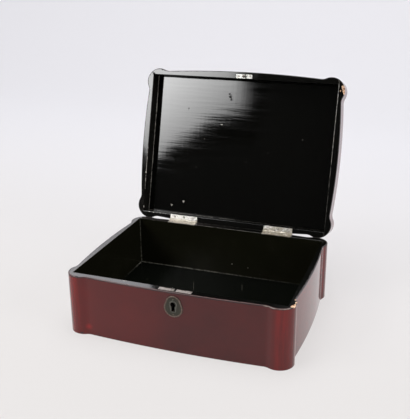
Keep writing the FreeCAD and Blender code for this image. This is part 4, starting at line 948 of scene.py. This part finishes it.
# each hinge's recess in the rim and the round hollow behind its knuckles
def hingeRooms(s, part, sizes):
    inwards = -1 if part == "body" else 1
    bottom, top = sorted(sizes["rim"] + inwards * deep for deep in (s["leaf"] + s["sink"], -s["outside"]))
    cutters = []
    for side in ("left", "right"):
        low, high = cornersOf("hinge_%s_leaf_%s" % (part, side))
        cutters.append(boxCutter((low[0] - s["let"], sizes["innerY"] - s["inside"], bottom),
                                 (high[0] + s["let"], axisY + s["outside"], top)))
        cutters.append(rodCutter((low[0] - s["headRoom"], axisY, axisZ),
                                 (high[0] + s["headRoom"], axisY, axisZ), s["knuckleRoom"]))
    return cutters


# the bevel behind the hinge axis: a box on the axis, swung so that its face slopes by half the opening
def stopRoom(s, isLid):
    slope = (openAngle + s["stopSlack"]) / 2
    room = boxCutter((-plan["overX"], axisY, axisZ),
                     (plan["overX"], axisY + s["stopReach"], axisZ + s["stopReach"]), rimFinish)
    moveMesh(room, lambda points: swing(points, math.pi / 2 - slope if isLid else slope))
    return room


# a box just larger than a piece that is let in from the rim
def roomFor(s, node, shut, up):
    low, high = cornersOf(node, shut)
    low, high = low - (s["let"], s["let"], s["sink"]), high + (s["let"], s["let"], s["sink"])
    if up:
        high[2] += s["outside"]
    else:
        low[2] -= s["outside"]
    return boxCutter(low, high)


# the keyhole's round and the slot below it
def keyholeRooms(s, x, front):
    start = (x, front - s["outside"], s["keyholeHeight"])
    end = (x, front + s["keyholeDepth"], s["keyholeHeight"])
    half = s["keyholeHalf"] + s["sink"]
    return [rodCutter(start, end, s["keyholeRound"] + s["sink"]),
            boxCutter((x - half, start[1], s["keyholeHeight"] - s["keyholeDrop"] - s["sink"]),
                      (x + half, end[1], s["keyholeHeight"]))]


# where the front right lobes are knocked, with the lid shut: middle and half sizes
knockSet = {
    "body": (((0.1486, -0.1008, 0.0826), (0.0034, 0.0044, 0.0024)),
             ((0.1496, -0.0910, 0.0824), (0.0018, 0.0028, 0.0014)),
             ((0.1462, -0.0854, 0.0822), (0.0009, 0.0012, 0.0007))),
    "lid": (((0.1488, -0.0993, 0.0825), (0.0034, 0.0046, 0.0028)),
            ((0.1497, -0.0938, 0.0830), (0.0024, 0.0028, 0.0020)),
            ((0.1438, -0.0952, 0.0822), (0.0009, 0.0014, 0.0007))),
}

bodyFoot = [(0.0, bodySet["floor"]), (bodySet["rabbet"], bodySet["floor"]), (bodySet["rabbet"], 0.0)]
railDeep = lidSet["panel"] - lidSet["rim"]
walls, rails = {}, {}
for side in quarterTurns:
    walls[side] = makeSide("lacqueredWall_" + side, side, bodySet, bodySet["rim"], bodyFoot,
                           lambda z: z, False, wallFinishes)
    rails[side] = makeSide("lacqueredRail_" + side, side, lidSet, railDeep, [(0.0, 0.0)],
                           lambda z: lidSet["panel"] - z, True, railFinishes)
cutAway(walls["back"], hingeRooms(roomSet, "body", bodySet) + [stopRoom(roomSet, False)])
cutAway(rails["back"], hingeRooms(roomSet, "lid", lidSet) + [stopRoom(roomSet, True)])
shieldLow, shieldHigh = cornersOf("escutcheon")
cutAway(walls["front"], [roomFor(roomSet, node, False, True) for node in ("lock_selvedge", "lock_case")]
        + keyholeRooms(roomSet, (shieldLow[0] + shieldHigh[0]) / 2, -plan["longReach"]))
cutAway(rails["front"], [roomFor(roomSet, "link_plate", True, False)])
for piece, knocks in ((walls["right"], knockSet["body"]), (rails["right"], knockSet["lid"])):
    cutAway(piece, [lumpCutter(middle, size) for middle, size in knocks])
for rail in rails.values():
    moveMesh(rail, lambda points: swing(points, openAngle))


# the lid's top board: the whole plan, up its edge, over the rounding and closed by two flat faces
def makePanel(s):
    rounding, top = s["topRound"], s["top"]
    rows = [(0.0, z, s["unworn"]) for z in (s["panel"], (s["panel"] + top) / 2, top - rounding - guard)]
    rows += overEdge(rounding, top, s["topSteps"])
    rows.append((rounding + guard, top, s["unworn"]))
    points = [turned(outerRow(s, side in longSides, depth), quarters, z)[:-1]
              for depth, z, _ in rows for side, quarters in quarterTurns.items()]
    points = np.concatenate(points)
    columns = len(points) // len(rows)
    run = np.concatenate([np.stack([np.arange(columns) * s["runStep"], np.full(columns, away)], 1)
                          for _, _, away in rows])
    faces = tubeFaces(len(rows), columns)
    finishes = [0] * (len(faces) - 2) + [1, 0]
    return newPiece("lacqueredPanel", swing(points, openAngle), faces, finishes, [redLacquer, panelLacquer],
                    run=run)


panel = makePanel(lidSet)
for side in quarterTurns:
    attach(walls[side], "carcase")
    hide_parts(side + "_wall")
    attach(rails[side], "lid")
    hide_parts("lid_%s_rail" % side)
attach(panel, "lid")
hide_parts("lid_panel")
print("walls, rails and panel made")

finishOf = (
    (innerLacquer, ("bottom_board",)),
    (bodyHingeDullShadedPlating, ("hinge_body_leaf_left", "hinge_body_leaf_right", "hinge_pin_left",
                        "hinge_pin_right")),
    (lidHingePlating, ("hinge_lid_leaf_left", "hinge_lid_leaf_right")),
    (screwHeads, ("hinge_body_screws", "hinge_lid_screws")),
    (selvedgeMetal, ("lock_selvedge", "lock_screws", "link_hook", "link_screws")),
    (darkSteel, ("lock_case", "lock_cap", "lock_bolt", "lock_spring", "lock_key_pin", "lock_stump")),
    (linkMetal, ("link_plate",)),
    (shieldBrass, ("escutcheon", "escutcheon_pins")),
)
for material, names in finishOf:
    for name in names:
        for slot in nodes[name].material_slots:
            slot.material = material
print("bottom board and metalwork finished")

paperSet = {
    "near": (0.765, 0.742, 0.735),
    "far": (0.855, 0.846, 0.888),
    "between": (-0.3, 1.1),       # along Y, from the near colour to the far one
    "glow": 0.78,                 # share of plain colour that the eye and reflections see
    "shine": ((0.0, 1.0), (0.3, 1.0), (0.9, 1.35), (1.08, 1.40), (1.35, 2.6), (4.0, 2.6)),    # by height
    "inGloss": 1.18,              # and a little more in reflections
    "reach": 8.0,
    "bend": 1.3,                  # where the paper starts to rise behind the box
    "bendRadius": 0.9,
    "bendSteps": 24,
    "rise": 4.0,
    "sharp": 60.0,
}


# puts a surface in the place of a material's own shader
def showInstead(shader, surface):
    tree = shader.id_data
    fill(tree.nodes["Material Output"], {"Surface": surface})
    tree.nodes.remove(shader)


# a sheet of paper: flat, then a quarter circle up behind the box, then straight up
def makePaper(s):
    angles = np.linspace(0, math.pi / 2, s["bendSteps"] + 1)
    y = np.concatenate([[-s["reach"]], s["bend"] + s["bendRadius"] * np.sin(angles),
                        [s["bend"] + s["bendRadius"]]])
    z = np.concatenate([[0.0], s["bendRadius"] * (1 - np.cos(angles)), [s["rise"]]])
    count = len(y)
    points = np.concatenate([np.stack([np.full(count, x), y, z], 1) for x in (-s["reach"], s["reach"])])
    faces = [(i, count + i, count + i + 1, i + 1) for i in range(count - 1)]
    paper = newPiece("paper", points, faces, [0] * len(faces), [], s["sharp"])
    material, shader, where = newMaterial("palePaper")
    axes = apart(where)
    colour = blendColour(fade(axes["Y"], *s["between"]), s["near"], s["far"])
    matt = addNode("ShaderNodeBsdfDiffuse", {"Color": colour})[0]
    path = addNode("ShaderNodeLightPath", {}, shader.id_data)
    shine = times(strengthAlong(axes["Z"], s["shine"]),
                  fade(path["Is Glossy Ray"], 0.0, 1.0, 1.0, s["inGloss"]))
    plain = addNode("ShaderNodeEmission", {"Color": colour, "Strength": shine})[0]
    share = times(anyOf(path["Is Camera Ray"], path["Is Glossy Ray"]), s["glow"])
    showInstead(shader, addNode("ShaderNodeMixShader", {0: share, 1: matt, 2: plain})[0])
    paper.data.materials.append(material)


worldSet = {
    "dim": (0.035, 0.035, 0.035),             # what the object sees
    "pale": paperSet["far"],      # what the eye sees past the paper
}


# plain surroundings, which the eye and the object see differently
def makeWorld(s):
    world = bpy.data.worlds.new("world")
    bpy.context.scene.world = world
    world.use_nodes = True
    tree = world.node_tree
    seen = addNode("ShaderNodeLightPath", {}, tree)["Is Camera Ray"]
    fill(tree.nodes["Background"], {"Color": blendColour(seen, s["dim"], s["pale"])})


keySet = {
    "y": -1.5,
    "corners": ((-0.440, 0.650), (-0.440, 1.150), (-1.150, 1.150), (-1.150, 0.500)),   # x and z
    "edge": 0.05,                 # its lower edge fades over this height
    "sideEdge": 0.096,            # and its right edge over this width
    "lowerEdge": ((-1.15, 0.60), (-0.91, 0.590), (-0.875, 0.545), (-0.85, 0.542), (-0.79, 0.615),
                  (-0.73, 0.650), (-0.70, 0.680), (-0.66, 0.722), (-0.60, 0.744), (-0.54, 0.764),
                  (-0.44, 0.795)),            # x and z
    "rightEdge": ((0.70, 0.470), (0.79, 0.464), (0.83, 0.470), (0.88, 0.484), (0.92, 0.497),
                  (1.15, 0.515)),             # z and -x
    "middle": (-0.592, 0.906),    # x and z where its strength is level
    "level": 8.5,
    "leftward": -26.5,            # more strength for each metre to the left
    "upward": 23.5,
    "range": (1.0, 16.0),
}


# A lit cloth in front and to the left, seen in the open lid. Its strength is level + leftward dx
# + upward dz from its middle, kept in range, and it fades along two edges.
def makeKeyCloth(s):
    points = np.array([(x, s["y"], z) for x, z in s["corners"]])
    cloth = newPiece("keyCloth", points, [(3, 2, 1, 0)], [0], [])
    material, shader, where = newMaterial("keyCloth")
    axes = apart(where)
    middleX, middleZ = s["middle"]
    level = sums("ADD", times(sums("SUBTRACT", axes["Z"], middleZ), s["upward"]),
                 times(sums("SUBTRACT", axes["X"], middleX), s["leftward"]), s["level"])
    least, most = s["range"]
    level = sums("MINIMUM", sums("MAXIMUM", level, least), most)
    above = sums("SUBTRACT", axes["Z"], strengthAlong(axes["X"], s["lowerEdge"]))
    beside = sums("ADD", axes["X"], strengthAlong(axes["Z"], s["rightEdge"]))
    level = times(level, fade(above, 0.0, s["edge"]), fade(beside, 0.0, -s["sideEdge"]))
    showInstead(shader, addNode("ShaderNodeEmission", {"Strength": level})[0])
    cloth.data.materials.append(material)
    cloth.visible_camera = False


lamps = {
    "overheadBank": {"place": (-0.1, 0.1, 1.9), "towards": (0.0, 0.0, 0.05), "size": 1.6, "power": 38.0},
    "rightBank": {"place": (1.9, -0.5, 0.9), "towards": (0.0, 0.0, 0.1), "size": 1.0, "power": 20.0},
    "leftBank": {"place": (-1.9, -1.2, 1.9), "towards": (0.0, 0.0, 0.1), "size": 0.9, "power": 24.0},
}


# a square lamp that faces a point
def addLamp(name, s):
    data = bpy.data.lights.new(name, "AREA")
    data.shape, data.size, data.energy = "SQUARE", s["size"], s["power"]
    lamp = bpy.data.objects.new(name, data)
    bpy.context.scene.collection.objects.link(lamp)
    away = Vector(s["place"]) - Vector(s["towards"])
    lamp.matrix_world = Matrix.Translation(s["place"]) @ away.to_track_quat("Z", "Y").to_matrix().to_4x4()


makePaper(paperSet)
makeWorld(worldSet)
makeKeyCloth(keySet)
for name, s in lamps.items():
    addLamp(name, s)
print("stage and lamps set")
